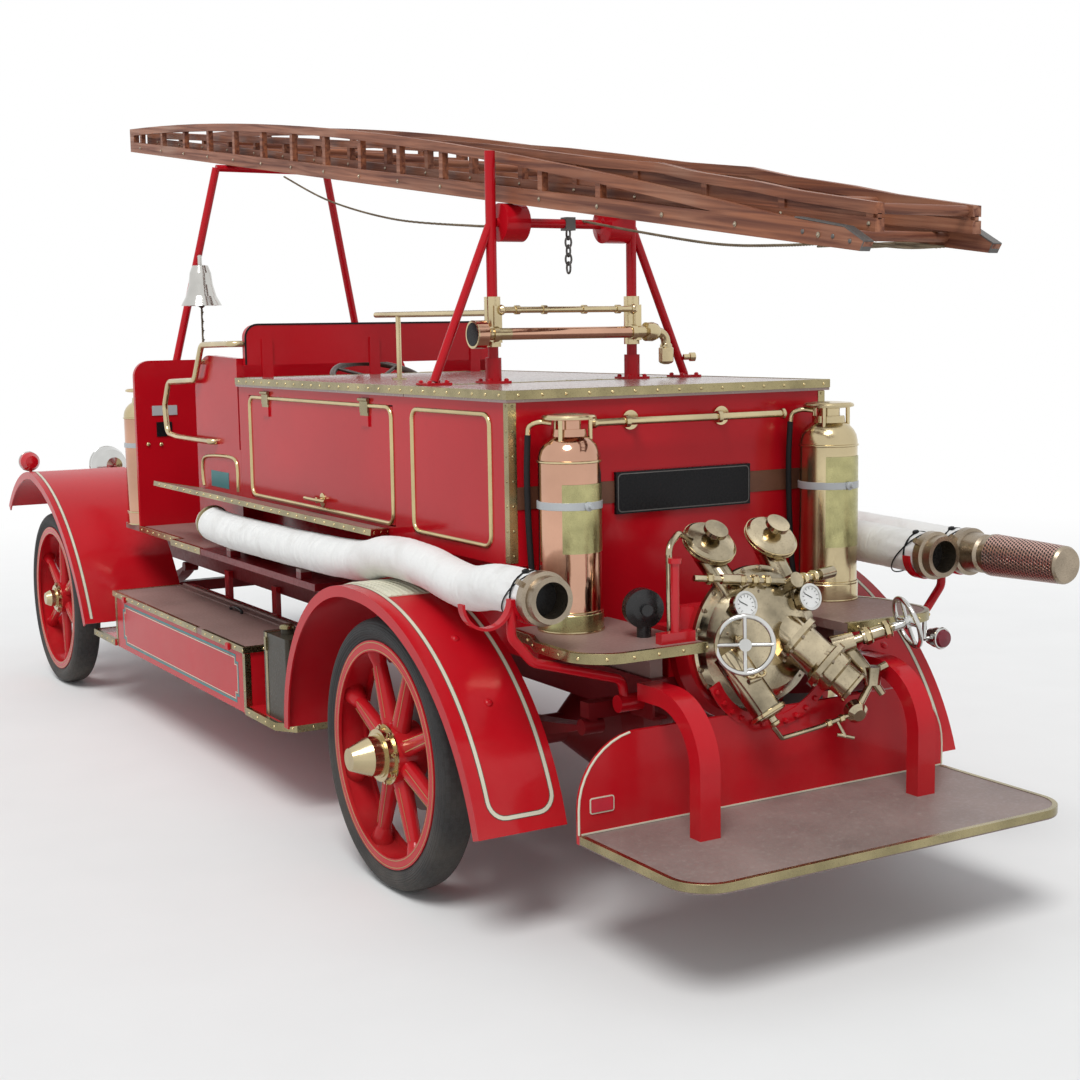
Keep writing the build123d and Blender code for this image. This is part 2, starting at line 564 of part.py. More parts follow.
# Arm of the hose cradles, from a boss on the frame, under the shelf and up between the two cups
CRADLE_Y = 668
CRADLE_ARM = ((404, 634), (412, 700), (690, 778), (753, 850), (753, 930))
CRADLE_BENDS = (35, 45, 35)
CUP_R = (HOSE_R + 1, HOSE_R + 9)
CUP_Z = 952
BAR_X = 372
BAR_W = 64
MOUNT_R = 240
with BuildPart() as rear_brackets:
    pipe([(x, CRADLE_Y, z) for x, z in CRADLE_ARM], 13, CRADLE_BENDS)
    rod((FRAME_X, CRADLE_Y, CRADLE_ARM[0][1]), (FRAME_X + 73, CRADLE_Y, CRADLE_ARM[0][1]), 24)
    for cup_x in (HOSE_X, OUTER_HOSE_X):
        with BuildSketch(Plane.XZ.offset(-CRADLE_Y - 13)):
            with Locations((cup_x, CUP_Z)):
                Circle(CUP_R[1])
                Circle(CUP_R[0], mode=Mode.SUBTRACT)
            with Locations((cup_x, CUP_Z + CUP_R[1] / 2)):
                Rectangle(2 * CUP_R[1] + 2, CUP_R[1], mode=Mode.SUBTRACT)
        extrude(amount=26)
    for cup_x in (HOSE_X, OUTER_HOSE_X):
        rod((cup_x, CRADLE_Y - 40, CUP_Z), (cup_x, CRADLE_Y + 40, CUP_Z), CUP_R[0], mode=Mode.SUBTRACT)
    with BuildSketch(Plane.YZ.offset(BAR_X - BAR_W / 2)):
        with BuildLine():
            Line((FRAME_REAR, FRAME_TOP), (830, FRAME_TOP))
            ThreePointArc((830, FRAME_TOP), (960, 640), (1012, 510))
            Polyline((1012, 510), (1012, PLATFORM_Z), (966, PLATFORM_Z), (966, 510))
            ThreePointArc((966, 510), (930, 605), (830, 654))
            Polyline((830, 654), (FRAME_REAR, 654), (FRAME_REAR, FRAME_TOP))
        make_face()
    extrude(amount=BAR_W)
    mirror(about=Plane.YZ)
    turned((0, 640, PUMP_Z), (0, 1, 0), ((0, 0), (MOUNT_R, 0), (MOUNT_R, 30), (MOUNT_R - 20, 60), (0, 60)))
    block((-MOUNT_R, MOUNT_R), (639, 701), (PUMP_Z + 105, PUMP_Z + MOUNT_R + 1), Mode.SUBTRACT)
    block((-MOUNT_R, MOUNT_R), (570, 641), (FRAME_TOP - 20, FRAME_TOP + 120))

with BuildPart() as rear_shelves:
    with BuildSketch(Plane.XY.offset(SHELF_Z - 26)) as plan:
        with BuildLine():
            Polyline((243, BODY_REAR), (572, BODY_REAR), (582, 470), (620, 560), (620, 700))
            ThreePointArc((620, 700), (584, 792), (494, 826))
            Polyline((494, 826), (243, 826), (243, BODY_REAR))
        make_face()
    extrude(amount=26)
    block((302, 342), (BODY_REAR, 700), (FRAME_TOP, SHELF_Z - 26))
    mirror(about=Plane.YZ)

# Pump: a turned casing with its capped elbows, gauges, valves, outlet and drain
CASING = ((0, 0), (206, 0), (206, 14), (198, 18), (190, 44), (172, 72), (130, 96), (62, 106), (0, 106))
CAP_AT = (108, 640, 1030)
CAP_AXIS = (0, 0.62, 0.785)
CAP = ((0, -34), (40, -28), (66, 0), (76, 8), (76, 26), (68, 34), (26, 44), (14, 46), (14, 58), (34, 62), (34, 76),
       (0, 78))
GAUGE_AT = (112, 796, 888)
OUTLET_AT = (-77, 800, PUMP_Z)
OUTLET_AXIS = (-0.49, 0.62, -0.61)
OUTLET = ((0, -60), (52, -60), (52, -6), (76, -6), (76, 10), (58, 16), (55, 86), (60, 96), (74, 100), (74, 116),
          (58, 120), (58, 150), (45, 156), (45, 196), (49, 200), (49, 208), (35, 208), (35, 130), (0, 130))
SUCTION_CAP = ((0, 0), (48, 0), (48, 16), (30, 22), (12, 22), (12, 36), (0, 36))
HANDWHEELS = (
    # centre, axis, rim radius
    ((170, 893, 803), (0.5, 0.85, 0.1), 76),
    ((-385, 915, 809), (-0.9, 0.3, 0.32), 72),
)
PUMP_RODS = (
    # start, end, radius, end radius
    ((92, 745, 905), (108, 632, 1012), 36, 36),
    ((-92, 745, 905), (-108, 632, 1012), 36, 36),
    ((112, 775, 880), (112, 800, 889), 12, 12),
    ((-112, 775, 880), (-112, 800, 889), 12, 12),
    ((230, 748, 969), (-76, 801, 938), 9, 9),
    ((150, 762, 961), (90, 772, 955), 14, 14),
    ((20, 740, 930), (20, 786, 948), 16, 16),
    ((-64, 770, 925), (-64, 822, 948), 22, 22),
    ((-70, 795, 938), (-252, 744, 944), 11, 11),
    ((-190, 762, 942), (-256, 743, 944), 17, 17),
    ((96, 770, 790), (171, 894, 803), 14, 14),
    ((150, 790, 760), (93, 889, 614), 44, 42),
    ((122, 850, 690), (138, 886, 716), 12, 12),
    ((110, 882, 706), (154, 888, 700), 7, 7),
    ((-110, 780, 716), (-386, 915, 809), 12, 12),
    ((-192, 820, 744), (-247, 847, 762), 32, 26),
    ((-269, 858, 770), (-320, 883, 787), 21, 21),
    ((-228, 812, 750), (-283, 884, 655), 30, 20),
    ((-283, 884, 640), (-283, 884, 690), 24, 24),
    ((-275, 880, 668), (-330, 890, 690), 12, 12),
    ((-283, 884, 655), (-304, 906, 612), 13, 10),
    ((-283, 884, 650), (-246, 862, 562), 11, 11),
    ((-176, 860, 546), (-190, 882, 500), 5, 5),
    ((-168, 872, 508), (-214, 890, 496), 5, 5),
)
DRAIN = ((88, 884, 606), (60, 878, 560), (20, 862, 522), (-120, 860, 536), (-238, 860, 556))
DRAIN_VALVE_AT = (-252, 834, 571)
DRAIN_VALVE = ((0, 0), (18, 0), (31, 14), (31, 40), (18, 54), (0, 54))
CAP_LOOP = ((150, 640, 1050), (240, 690, 1086), (300, 730, 1060), (300, 735, SHELF_Z))
LEVER_FOOT = (312, 775, SHELF_Z)


def handwheel(at, along, radius):
    """A rim with a hub and four spokes, one pair level."""
    axis = Vector(*along).normalized()
    level = axis.cross(Vector(0, 0, 1)).normalized()
    face = Plane(origin=at, x_dir=(level + level.cross(axis)).normalized(), z_dir=axis)
    with Locations(face):
        Torus(radius, 7)
    rod(tuple(Vector(*at) - axis * 10), tuple(Vector(*at) + axis * 11), 17)
    for spoke in range(4):
        turn = pi / 4 + spoke * pi / 2
        root = face.from_local_coords((12 * cos(turn), 12 * sin(turn), 0))
        tip = face.from_local_coords((radius * cos(turn), radius * sin(turn), 2.5))
        rod(tuple(root), tuple(tip), 5.5)


with BuildPart() as pump:
    turned((0, 700, PUMP_Z), (0, 1, 0), CASING)
    for start, end, radius, end_radius in PUMP_RODS:
        rod(start, end, radius, None if radius == end_radius else end_radius)
    for side in (-1, 1):
        turned((side * CAP_AT[0], CAP_AT[1], CAP_AT[2]), CAP_AXIS, CAP)
        turned((side * GAUGE_AT[0], GAUGE_AT[1], GAUGE_AT[2]), (0, 0.96, 0.28), ((0, 0), (36, 0), (36, 22), (0, 22)))
    turned(OUTLET_AT, OUTLET_AXIS, OUTLET)
    turned((93, 889, 614), (-0.3, 0.5, -0.81), SUCTION_CAP)
    for wheel_at, wheel_axis, rim in HANDWHEELS:
        handwheel(wheel_at, wheel_axis, rim)
    turned(DRAIN_VALVE_AT, (0.2, 0.9, -0.3), DRAIN_VALVE)
    pipe(DRAIN, 7, 14)
    pipe(CAP_LOOP, 9, 34)
    # Control lever in its clamp, on the left shelf
    rod(LEVER_FOOT, (LEVER_FOOT[0], LEVER_FOOT[1], 1030), 12)
    rod((LEVER_FOOT[0], LEVER_FOOT[1], 1020), (LEVER_FOOT[0], LEVER_FOOT[1], 1034), 18)
    block((256, 366), (762, 790), (SHELF_Z, 836))

# Fire extinguishers: turned copper bottles; x, y and foot height of each
EXTINGUISHERS = (
    (434, 446, SHELF_Z),
    (-494, 446, SHELF_Z),
    (581, -2912, FLOOR_TOP),
)
BOTTLE = ((0, 0), (92, 0), (92, 50), (88, 56), (88, 470), (80, 495), (52, 520), (44, 528), (44, 548), (34, 552),
          (34, 582), (68, 586), (68, 600), (0, 600))
with BuildPart() as extinguishers:
    for at_x, at_y, foot_z in EXTINGUISHERS:
        turned((at_x, at_y, foot_z), (0, 0, 1), BOTTLE)

# Suction hoses on their saddles, their brass couplings and the strainer on the outer right one
HOSE_RUN = ((-1865, 925), (-1593, 906), (-910, 910), (-430, 924), (-200, 962), (40, 960), (300, 930),
            (480, 952), (694, 952))
COUPLING = ((48, 0), (72, 0), (72, 26), (62, 30), (62, 60), (48, 60))
STRAINER = ((0, 0), (72, 0), (72, 26), (62, 30), (58, 60), (58, 84), (50, 92), (50, 104), (62, 112), (63, 120),
            (55, 388), (50, 396), (0, 396))
LUG = (26, 14, 12)
HOSE_END = HOSE_RUN[-1]
with BuildPart() as suction_hoses:
    pipe([(HOSE_X, y, z) for y, z in HOSE_RUN], HOSE_R, 300)
    mirror(about=Plane.YZ)
    pipe([(-OUTER_HOSE_X, y, z) for y, z in HOSE_RUN], HOSE_R, 300)

with BuildPart() as hose_couplings:
    for at_x, outline in ((HOSE_X, COUPLING), (-HOSE_X, COUPLING), (-OUTER_HOSE_X, STRAINER)):
        turned((at_x, *HOSE_END), (0, 1, 0), outline)
        for turn in (0.6, 0.6 + pi):
            lug_x = at_x + 78 * cos(turn)
            lug_z = HOSE_END[1] + 78 * sin(turn)
            with Locations(Plane(origin=(lug_x, HOSE_END[0] + 13, lug_z), x_dir=(cos(turn), 0, sin(turn)),
                                 z_dir=(0, 1, 0))):
                Box(*LUG)

# Gallows that carry the ladder
FRONT_BAR = (-2750, 2362)
FRONT_BAR_X = 260
LEG_FOOT = (467, -2842, 1440)
POST_R = 17
POST_TOP = 2194
BRACE_TOP = 1965
COLLAR_R = 26
with BuildPart() as gallows:
    for side in (-1, 1):
        rod((side * GALLOWS_X, GALLOWS_Y, DECK_TOP), (side * GALLOWS_X, GALLOWS_Y, POST_TOP), POST_R)
        rod((side * 476, GALLOWS_Y, DECK_TOP + 12), (side * (GALLOWS_X + 6), GALLOWS_Y, BRACE_TOP), 14)
        rod((side * GALLOWS_X, GALLOWS_Y, DECK_TOP), (side * GALLOWS_X, GALLOWS_Y, 1553), COLLAR_R)
        for foot_x in (GALLOWS_X, 476):
            block((side * foot_x - 42, side * foot_x + 42), (GALLOWS_Y - 42, GALLOWS_Y + 42), (DECK_TOP, DECK_TOP + 8))
        rod((side * LEG_FOOT[0], LEG_FOOT[1], LEG_FOOT[2]), (side * FRONT_BAR_X, *FRONT_BAR), POST_R)
        rod((side * LEG_FOOT[0], LEG_FOOT[1], LEG_FOOT[2] + 20), (side * LEG_FOOT[0], DASH_Y - 12, LEG_FOOT[2] + 20), 12)
        rod((side * LEG_FOOT[0], DASH_Y - 20, LEG_FOOT[2] + 20), (side * LEG_FOOT[0], DASH_Y - 12, LEG_FOOT[2] + 20), 34)
    rod((-FRONT_BAR_X, *FRONT_BAR), (FRONT_BAR_X, *FRONT_BAR), 15)

# Cross bar between the rear posts with the two rollers that the ladder runs on
ROLLER_R = 60
AXLE_R = 15
with BuildPart() as ladder_roller:
    turned((-GALLOWS_X + POST_R + 1, GALLOWS_Y, ROLLER_Z), (1, 0, 0),
           ((0, 0), (AXLE_R - 1, 0), (AXLE_R - 1, 6), (ROLLER_R, 10), (ROLLER_R, 94), (30, 104), (AXLE_R, 106),
            (AXLE_R, 386), (30, 388), (ROLLER_R, 398), (ROLLER_R, 482), (AXLE_R - 1, 486), (AXLE_R - 1, 492),
            (0, 492)))

# Ladder: a trussed main section with pointed feet, and the extension that slides on its rungs
LADDER_FRONT = -4100
LADDER_REAR = 1400
STRING_X = 205
STRING_W = 28
RUNG_R = 13
RUNG_PITCH = 323.5
RUNGS = 17
MAIN_RUNG_LIFT = 25
EXTENSION_RUNG_LIFT = 97
FOOT_ROOT = 1050
# Outlines along the side, as (y, height over the main section's underside)
LOWER_STRING = ((LADDER_FRONT, 0), (LADDER_REAR - 15, 0), (LADDER_REAR, 22), (LADDER_REAR - 70, 50),
                (FOOT_ROOT, 62), (FOOT_ROOT - 240, 50), (LADDER_FRONT, 50))
END_BLOCK = ((LADDER_FRONT, 40), (LADDER_FRONT + 60, 40), (LADDER_FRONT + 60, 100), (LADDER_FRONT, 100))
EXTENSION_STRING = ((LADDER_FRONT + 120, 44), (LADDER_REAR - 20, 44), (LADDER_REAR - 20, 125),
                    (LADDER_FRONT + 120, 125))
BOW_TOP = ((LADDER_FRONT, 112), (-1800, 190), (FOOT_ROOT, 62))
BOW_DEPTH = 32
POST_W = 26


def ladder_z(y):
    """Height of the main section's underside at a place along the vehicle."""
    return ROLLER_Z + 62 - LADDER_SLOPE * (y - GALLOWS_Y)


def along_side(outline):
    """Points of (y, height over the underside) as places along the vehicle."""
    return [(y, ladder_z(y) + height) for y, height in outline]


def string_pair(half_width, outline):
    """A board on each side of the ladder, from its side outline."""
    for side in (-1, 1):
        with BuildSketch(Plane.YZ.offset(side * half_width - STRING_W / 2)) as string:
            with BuildLine():
                Polyline(*along_side(outline), close=True)
            make_face()
        extrude(string.sketch, amount=STRING_W)


def rung_row(half_width, first_y, lift):
    """Round rungs from one side to the other."""
    for rung in range(RUNGS):
        y = first_y + RUNG_PITCH * rung
        rod((-half_width, y, ladder_z(y) + lift), (half_width, y, ladder_z(y) + lift), RUNG_R)


with BuildPart() as ladder_main:
    string_pair(STRING_X, LOWER_STRING)
    string_pair(STRING_X, END_BLOCK)
    bow_top = along_side(BOW_TOP)
    bow_under = along_side([(y, height - BOW_DEPTH) for y, height in BOW_TOP])
    bow = Edge.make_three_point_arc(*bow_under)
    first_rung = LADDER_FRONT + RUNG_PITCH / 2
    for side in (-1, 1):
        with BuildSketch(Plane.YZ.offset(side * STRING_X - STRING_W / 2)):
            with BuildLine():
                ThreePointArc(*bow_top)
                Line(bow_top[2], bow_under[2])
                ThreePointArc(*bow_under[::-1])
                Line(bow_under[0], bow_top[0])
            make_face()
        extrude(amount=STRING_W)
        for post in range(RUNGS - 3):
            post_y = first_rung + RUNG_PITCH * post
            block((side * STRING_X - 11, side * STRING_X + 11), (post_y - POST_W / 2, post_y + POST_W / 2),
                  (ladder_z(post_y) + 40, top_of_arc(bow, post_y) + 10))
    rung_row(STRING_X, first_rung, MAIN_RUNG_LIFT)

with BuildPart() as ladder_extension:
    string_pair(STRING_X - 50, EXTENSION_STRING)
    rung_row(STRING_X - 50, LADDER_FRONT + 120 + 162, EXTENSION_RUNG_LIFT)

# Bell on an arm from the front gallows
BELL_AT = (372, -2690, 1765)
with BuildPart() as bell:
    with BuildSketch(Plane(origin=BELL_AT, x_dir=(1, 0, 0), z_dir=(0, -1, 0))):
        with BuildLine():
            Polyline((0, 178), (34, 172), (46, 140), (52, 90), (66, 40), (88, 0), (80, 0), (60, 40), (45, 90),
                     (38, 136), (0, 150), (0, 178))
        make_face()
    revolve(axis=Axis(BELL_AT, (0, 0, 1)))
    rod((BELL_AT[0], BELL_AT[1], BELL_AT[2] + 175), (BELL_AT[0], BELL_AT[1], BELL_AT[2] + 215), 9)
    rod((BELL_AT[0], BELL_AT[1], BELL_AT[2] + 210), (349, -2767, 1982), 8)

# Brass rails: hand rails at the seat ends, on the rear wall and along the deck
RAIL_R = 12
RAIL_X = 590
RAIL_BENDS = (30, 45, 45, 45, 45, 45, 60, 20)
REAR_RAIL = (400, 1377)
with BuildPart() as grab_rails:
    pipe(((540, -1748, 1602), (RAIL_X, -1748, 1602), (RAIL_X, -2090, 1598), (RAIL_X, -2190, 1455), (RAIL_X, -2520, 1443),
          (RAIL_X, -2585, 1340), (RAIL_X, -2560, 1225), (RAIL_X, -2430, 1215), (RAIL_X, -2022, 1215),
          (BODY_X, -2022, 1215)), RAIL_R, RAIL_BENDS)
    rod((BODY_X, -2137, 1530), (RAIL_X, -2137, 1530), RAIL_R - 2)
    mirror(about=Plane.YZ)
    rod((-350, *REAR_RAIL), (320, *REAR_RAIL), 11)
    for rail_x in (-163, 163):
        rod((rail_x, BODY_REAR, REAR_RAIL[1]), (rail_x, *REAR_RAIL), 10)
        rod((rail_x, BODY_REAR, REAR_RAIL[1]), (rail_x, BODY_REAR + 8, REAR_RAIL[1]), 28)
    rod((GALLOWS_X, GALLOWS_Y - COLLAR_R - 1, 1694), (GALLOWS_X, -1141, 1700), 10)
    rod((GALLOWS_X, -960, DECK_TOP), (GALLOWS_X, -960, 1698), 9)
    rod((GALLOWS_X, -960, DECK_TOP), (GALLOWS_X, -960, DECK_TOP + 6), 26)

# Branch pipes clipped across the rear posts
PIPE_Y = GALLOWS_Y + 42
LOWER_PIPE = (PIPE_Y, 1627)
UPPER_PIPE = (PIPE_Y, 1702)
CLAMP_Z = (1587, 1744)
with BuildPart() as branch_pipes:
    rod((360, *LOWER_PIPE), (-300, *LOWER_PIPE), 19)
    turned((300, *LOWER_PIPE), (1, 0, 0), ((18, 0), (44, 20), (44, 60), (36, 60), (36, 22), (18, 10)))
    rod((245, *UPPER_PIPE), (-232, *UPPER_PIPE), 10)
    for side in (-1, 1):
        turned((side * GALLOWS_X, GALLOWS_Y, CLAMP_Z[0]), (0, 0, 1),
               ((POST_R, 0), (COLLAR_R, 0), (COLLAR_R, CLAMP_Z[1] - CLAMP_Z[0]), (POST_R, CLAMP_Z[1] - CLAMP_Z[0])))
        block((side * GALLOWS_X - 11, side * GALLOWS_X + 11), (GALLOWS_Y + COLLAR_R - 2, PIPE_Y), (1600, 1716))

# Steering column on the vehicle's right, and its wheel
WHEEL_AT = (-300, -2330, 1420)
COLUMN_AXIS = (0, 0.35, 0.937)
COLUMN_R = 20
with BuildPart() as steering_column:
    axis = Vector(*COLUMN_AXIS)
    foot = Vector(*WHEEL_AT) - axis * ((WHEEL_AT[2] - FLOOR_TOP - 12) / COLUMN_AXIS[2])
    rod(tuple(foot), tuple(Vector(*WHEEL_AT) - axis), COLUMN_R)
    rod((foot.X, foot.Y, FLOOR_TOP), (foot.X, foot.Y, FLOOR_TOP + 24), 34)

STEER_R = 205
RIM_LIFT = 12
with BuildPart() as steering_wheel:
    rim_plane = Plane(origin=WHEEL_AT, z_dir=COLUMN_AXIS)
    with Locations(rim_plane.offset(RIM_LIFT)):
        Torus(STEER_R, 14)
    rod(WHEEL_AT, tuple(Vector(*WHEEL_AT) + Vector(*COLUMN_AXIS) * 24), 32)
    for arm in range(4):
        turn = pi / 4 + pi / 2 * arm
        tip = rim_plane.from_local_coords((STEER_R * cos(turn), STEER_R * sin(turn), RIM_LIFT + 1))
        root = rim_plane.from_local_coords((20 * cos(turn), 20 * sin(turn), RIM_LIFT))
        rod(tuple(root), tuple(tip), 8)

# Lamps: head lamps on the dumb irons, side lamps on the front wings and the tail lamp
HEADLAMP = ((0, -60), (41, -50), (78, 0), (90, 50), (90, 80), (0, 80))
SIDE_LAMP = ((0, -42), (30, -36), (46, 0), (46, 30), (0, 30))
HEADLAMP_AT = (400, -4075, 985)
SIDE_LAMP_AT = (850, -3905, 1035)
with BuildPart() as lamps:
    turned(HEADLAMP_AT, (0, -1, 0), HEADLAMP)
    rod((HEADLAMP_AT[0], HEADLAMP_AT[1], 596), (HEADLAMP_AT[0], HEADLAMP_AT[1], 915), 13)
    block((FRAME_X, HEADLAMP_AT[0]), (-4080, -4056), (584, 608))
    turned(SIDE_LAMP_AT, (0, -1, 0), SIDE_LAMP)
    rod((SIDE_LAMP_AT[0], SIDE_LAMP_AT[1], top_of_wing(FRONT_WING, SIDE_LAMP_AT[1]) + 3),
        (SIDE_LAMP_AT[0], SIDE_LAMP_AT[1], SIDE_LAMP_AT[2] - 30), 8)
    mirror(about=Plane.YZ)
    turned((-603, 826, 726), (0, 1, 0), ((0, -50), (24, -44), (30, -20), (30, 0), (24, 14), (0, 18)))
    # Hand lamp in its holder on the left shelf
    turned((330, 640, 886), (0.3, 0.95, 0), ((0, 0), (54, 0), (54, 38), (34, 44), (16, 46), (16, 64), (0, 64)))
    rod((334, 660, SHELF_Z), (334, 660, 850), 20)
    rod((-560, 800, 726), (-560, 800, SHELF_Z - 26), 7)
    rod((-560, 800, 726), (-590, 800, 726), 7)

with BuildPart() as number_plate:
    block((-268, 217), (BODY_REAR, BODY_REAR + 12), (1106, 1228))

PIECES = {
    "frame": frame, "springs": springs, "axles": axles, "engine": engine, "radiator": radiator,
    "cab_body": cab_body, "floor_boards": floor_boards, "seat_cushion": seat_cushion, "backboard": backboard,
    "hose_body": hose_body, "deck": deck, "footboards": footboards, "step_boxes": step_boxes,
    "fuel_cans": fuel_cans, "front_wings": front_wings, "rear_wings": rear_wings,
    "rear_step": rear_step, "rear_brackets": rear_brackets, "rear_shelves": rear_shelves,
    "pump": pump, "extinguishers": extinguishers, "bonnet_sides": bonnet_sides,
    "suction_hoses": suction_hoses, "hose_couplings": hose_couplings, "gallows": gallows,
    "ladder_roller": ladder_roller, "ladder_main": ladder_main, "ladder_extension": ladder_extension,
    "bell": bell, "grab_rails": grab_rails, "branch_pipes": branch_pipes, "steering_column": steering_column,
    "steering_wheel": steering_wheel, "lamps": lamps, "number_plate": number_plate,
}
for name, piece in PIECES.items():
    place_in_frame(piece, name)
for side_name, side in (("left", 1), ("right", -1)):
    place_in_frame(steering_knuckle(side), f"knuckle_{side_name}")
    place_in_frame(bonnet_half(side), f"bonnet_{side_name}")
    place_in_frame(locker_door(side), f"locker_door_{side_name}")
    place_in_frame(step_box_lid(side), f"step_lid_{side_name}")

wheel_bodies = {style: spoked_wheel(style) for style in WHEEL_STYLES}
tyre_body = tyre_ring()
for name, side, wheel_x, axle_y in WHEELS:
    for kind, body in (("wheel", wheel_bodies[name.split("_")[0]]), ("tyre", tyre_body)):
        with BuildPart() as placed:
            with Locations((side * wheel_x, axle_y, TYRE_R)):
                add(body if side > 0 else mirror(body, about=Plane.YZ, mode=Mode.PRIVATE))
        place_in_frame(placed, f"{kind}_{name}")
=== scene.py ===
import math
import bmesh
import bpy
from mathutils import Matrix, Vector, noise


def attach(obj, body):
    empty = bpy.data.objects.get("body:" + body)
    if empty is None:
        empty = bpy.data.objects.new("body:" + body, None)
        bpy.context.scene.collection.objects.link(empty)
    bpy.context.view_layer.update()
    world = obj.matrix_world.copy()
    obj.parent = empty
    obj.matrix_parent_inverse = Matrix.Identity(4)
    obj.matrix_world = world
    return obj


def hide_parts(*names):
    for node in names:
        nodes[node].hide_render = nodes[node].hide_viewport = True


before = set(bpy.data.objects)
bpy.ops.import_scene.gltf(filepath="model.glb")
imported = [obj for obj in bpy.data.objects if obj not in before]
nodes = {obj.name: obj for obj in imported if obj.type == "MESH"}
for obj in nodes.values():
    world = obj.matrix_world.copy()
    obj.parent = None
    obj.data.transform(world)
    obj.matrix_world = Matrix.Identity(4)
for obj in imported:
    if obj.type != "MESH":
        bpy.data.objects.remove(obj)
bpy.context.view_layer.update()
scene = bpy.context.scene
scene.view_settings.view_transform = "Standard"
print("frame loaded:", len(nodes), "nodes")

# Vehicle measures are in millimetres from the rear axle, on the ground: +X left, -Y front
axleShift = 1.3925
ladderSlope = 0.138
alongX, alongY, upward = Vector((1, 0, 0)), Vector((0, 1, 0)), Vector((0, 0, 1))
sides = (("Left", 1), ("Right", -1))


def at(x, y, z):
    return Vector((x / 1000, y / 1000 + axleShift, z / 1000))


def addObject(name, data):
    made = bpy.data.objects.new(name, data)
    scene.collection.objects.link(made)
    return made


# Camera, fitted to the photograph
cameraView = {
    "place": (2.829, 5.7219, 1.6395),
    "yaw": 0.5343,
    "pitch": -0.1265,
    "roll": -0.0152,
    "lens": 55.17,
}


def makeCamera():
    yaw, pitch, roll = (cameraView[key] for key in ("yaw", "pitch", "roll"))
    level = math.cos(pitch)
    forward = Vector((-math.sin(yaw) * level, -math.cos(yaw) * level, math.sin(pitch)))
    side = forward.cross(upward).normalized()
    up = side.cross(forward)
    right = side * math.cos(roll) + up * math.sin(roll)
    top = up * math.cos(roll) - side * math.sin(roll)
    data = bpy.data.cameras.new("camera")
    data.lens = cameraView["lens"]
    data.sensor_width = 36
    scene.camera = addObject("camera", data)
    turn = Matrix((right, top, -forward)).transposed().to_4x4()
    scene.camera.matrix_world = Matrix.Translation(cameraView["place"]) @ turn


makeCamera()
print("camera placed")


# Node helpers: feeds maps a socket to a value or to the output that drives it
def feed(tree, sockets, feeds):
    for key, value in feeds.items():
        if isinstance(value, bpy.types.NodeSocket):
            tree.links.new(value, sockets[key])
        else:
            sockets[key].default_value = value


def addNode(tree, kind, feeds=None, **settings):
    made = tree.nodes.new("ShaderNode" + kind)
    for name, value in settings.items():
        setattr(made, name, value)
    feed(tree, made.inputs, feeds or {})
    return made


def mathNode(tree, operation, first, second=0.0):
    return addNode(tree, "Math", {0: first, 1: second}, operation=operation).outputs[0]


def product(tree, first, *others):
    for other in others:
        first = mathNode(tree, "MULTIPLY", first, other)
    return first


def vectorNode(tree, operation, first, second=(0, 0, 0)):
    feeds = {0: first, "Scale" if operation == "SCALE" else 1: second}
    made = addNode(tree, "VectorMath", feeds, operation=operation)
    return made.outputs["Value" if operation == "LENGTH" else "Vector"]


def mixColour(tree, mask, first, second):
    return addNode(tree, "Mix", {0: mask, 6: first, 7: second}, data_type="RGBA").outputs[2]


def mixValue(tree, mask, first, second):
    return addNode(tree, "Mix", {0: mask, 2: first, 3: second}, data_type="FLOAT").outputs[0]


def rangeNode(tree, value, low, high, newLow=0.0, newHigh=1.0):
    feeds = {0: value, 1: low, 2: high, 3: newLow, 4: newHigh}
    return addNode(tree, "MapRange", feeds).outputs[0]


def objectPlace(tree):
    return addNode(tree, "TexCoord").outputs["Object"]


def noiseNode(tree, place, scale, detail, distortion=0.0):
    feeds = {"Vector": place, "Scale": scale, "Detail": detail, "Distortion": distortion}
    return addNode(tree, "TexNoise", feeds).outputs[0]


def bumpNode(tree, strength, distance, height, **more):
    feeds = {"Strength": strength, "Distance": distance, "Height": height, **more}
    return addNode(tree, "Bump", feeds).outputs[0]


def splitNode(tree, vector):
    return addNode(tree, "SeparateXYZ", {0: vector}).outputs


# A node group: a float input is a value, three numbers are a vector and four a colour
def newGroup(name, inputs, outputs):
    group = bpy.data.node_groups.new(name, "ShaderNodeTree")
    for label, value in inputs.items():
        kind = "Float" if isinstance(value, float) else "Color" if len(value) == 4 else "Vector"
        socket = group.interface.new_socket(name=label, in_out="INPUT",
                                            socket_type="NodeSocket" + kind)
        socket.default_value = value
    for label, kind in outputs.items():
        group.interface.new_socket(name=label, in_out="OUTPUT", socket_type="NodeSocket" + kind)
    given, out = (group.nodes.new("NodeGroup" + end) for end in ("Input", "Output"))
    return group, given.outputs, out.inputs


finishOutputs = {"Color": "Color", "Roughness": "Float", "Normal": "Vector"}
middleGrey = (0.5, 0.5, 0.5, 1)


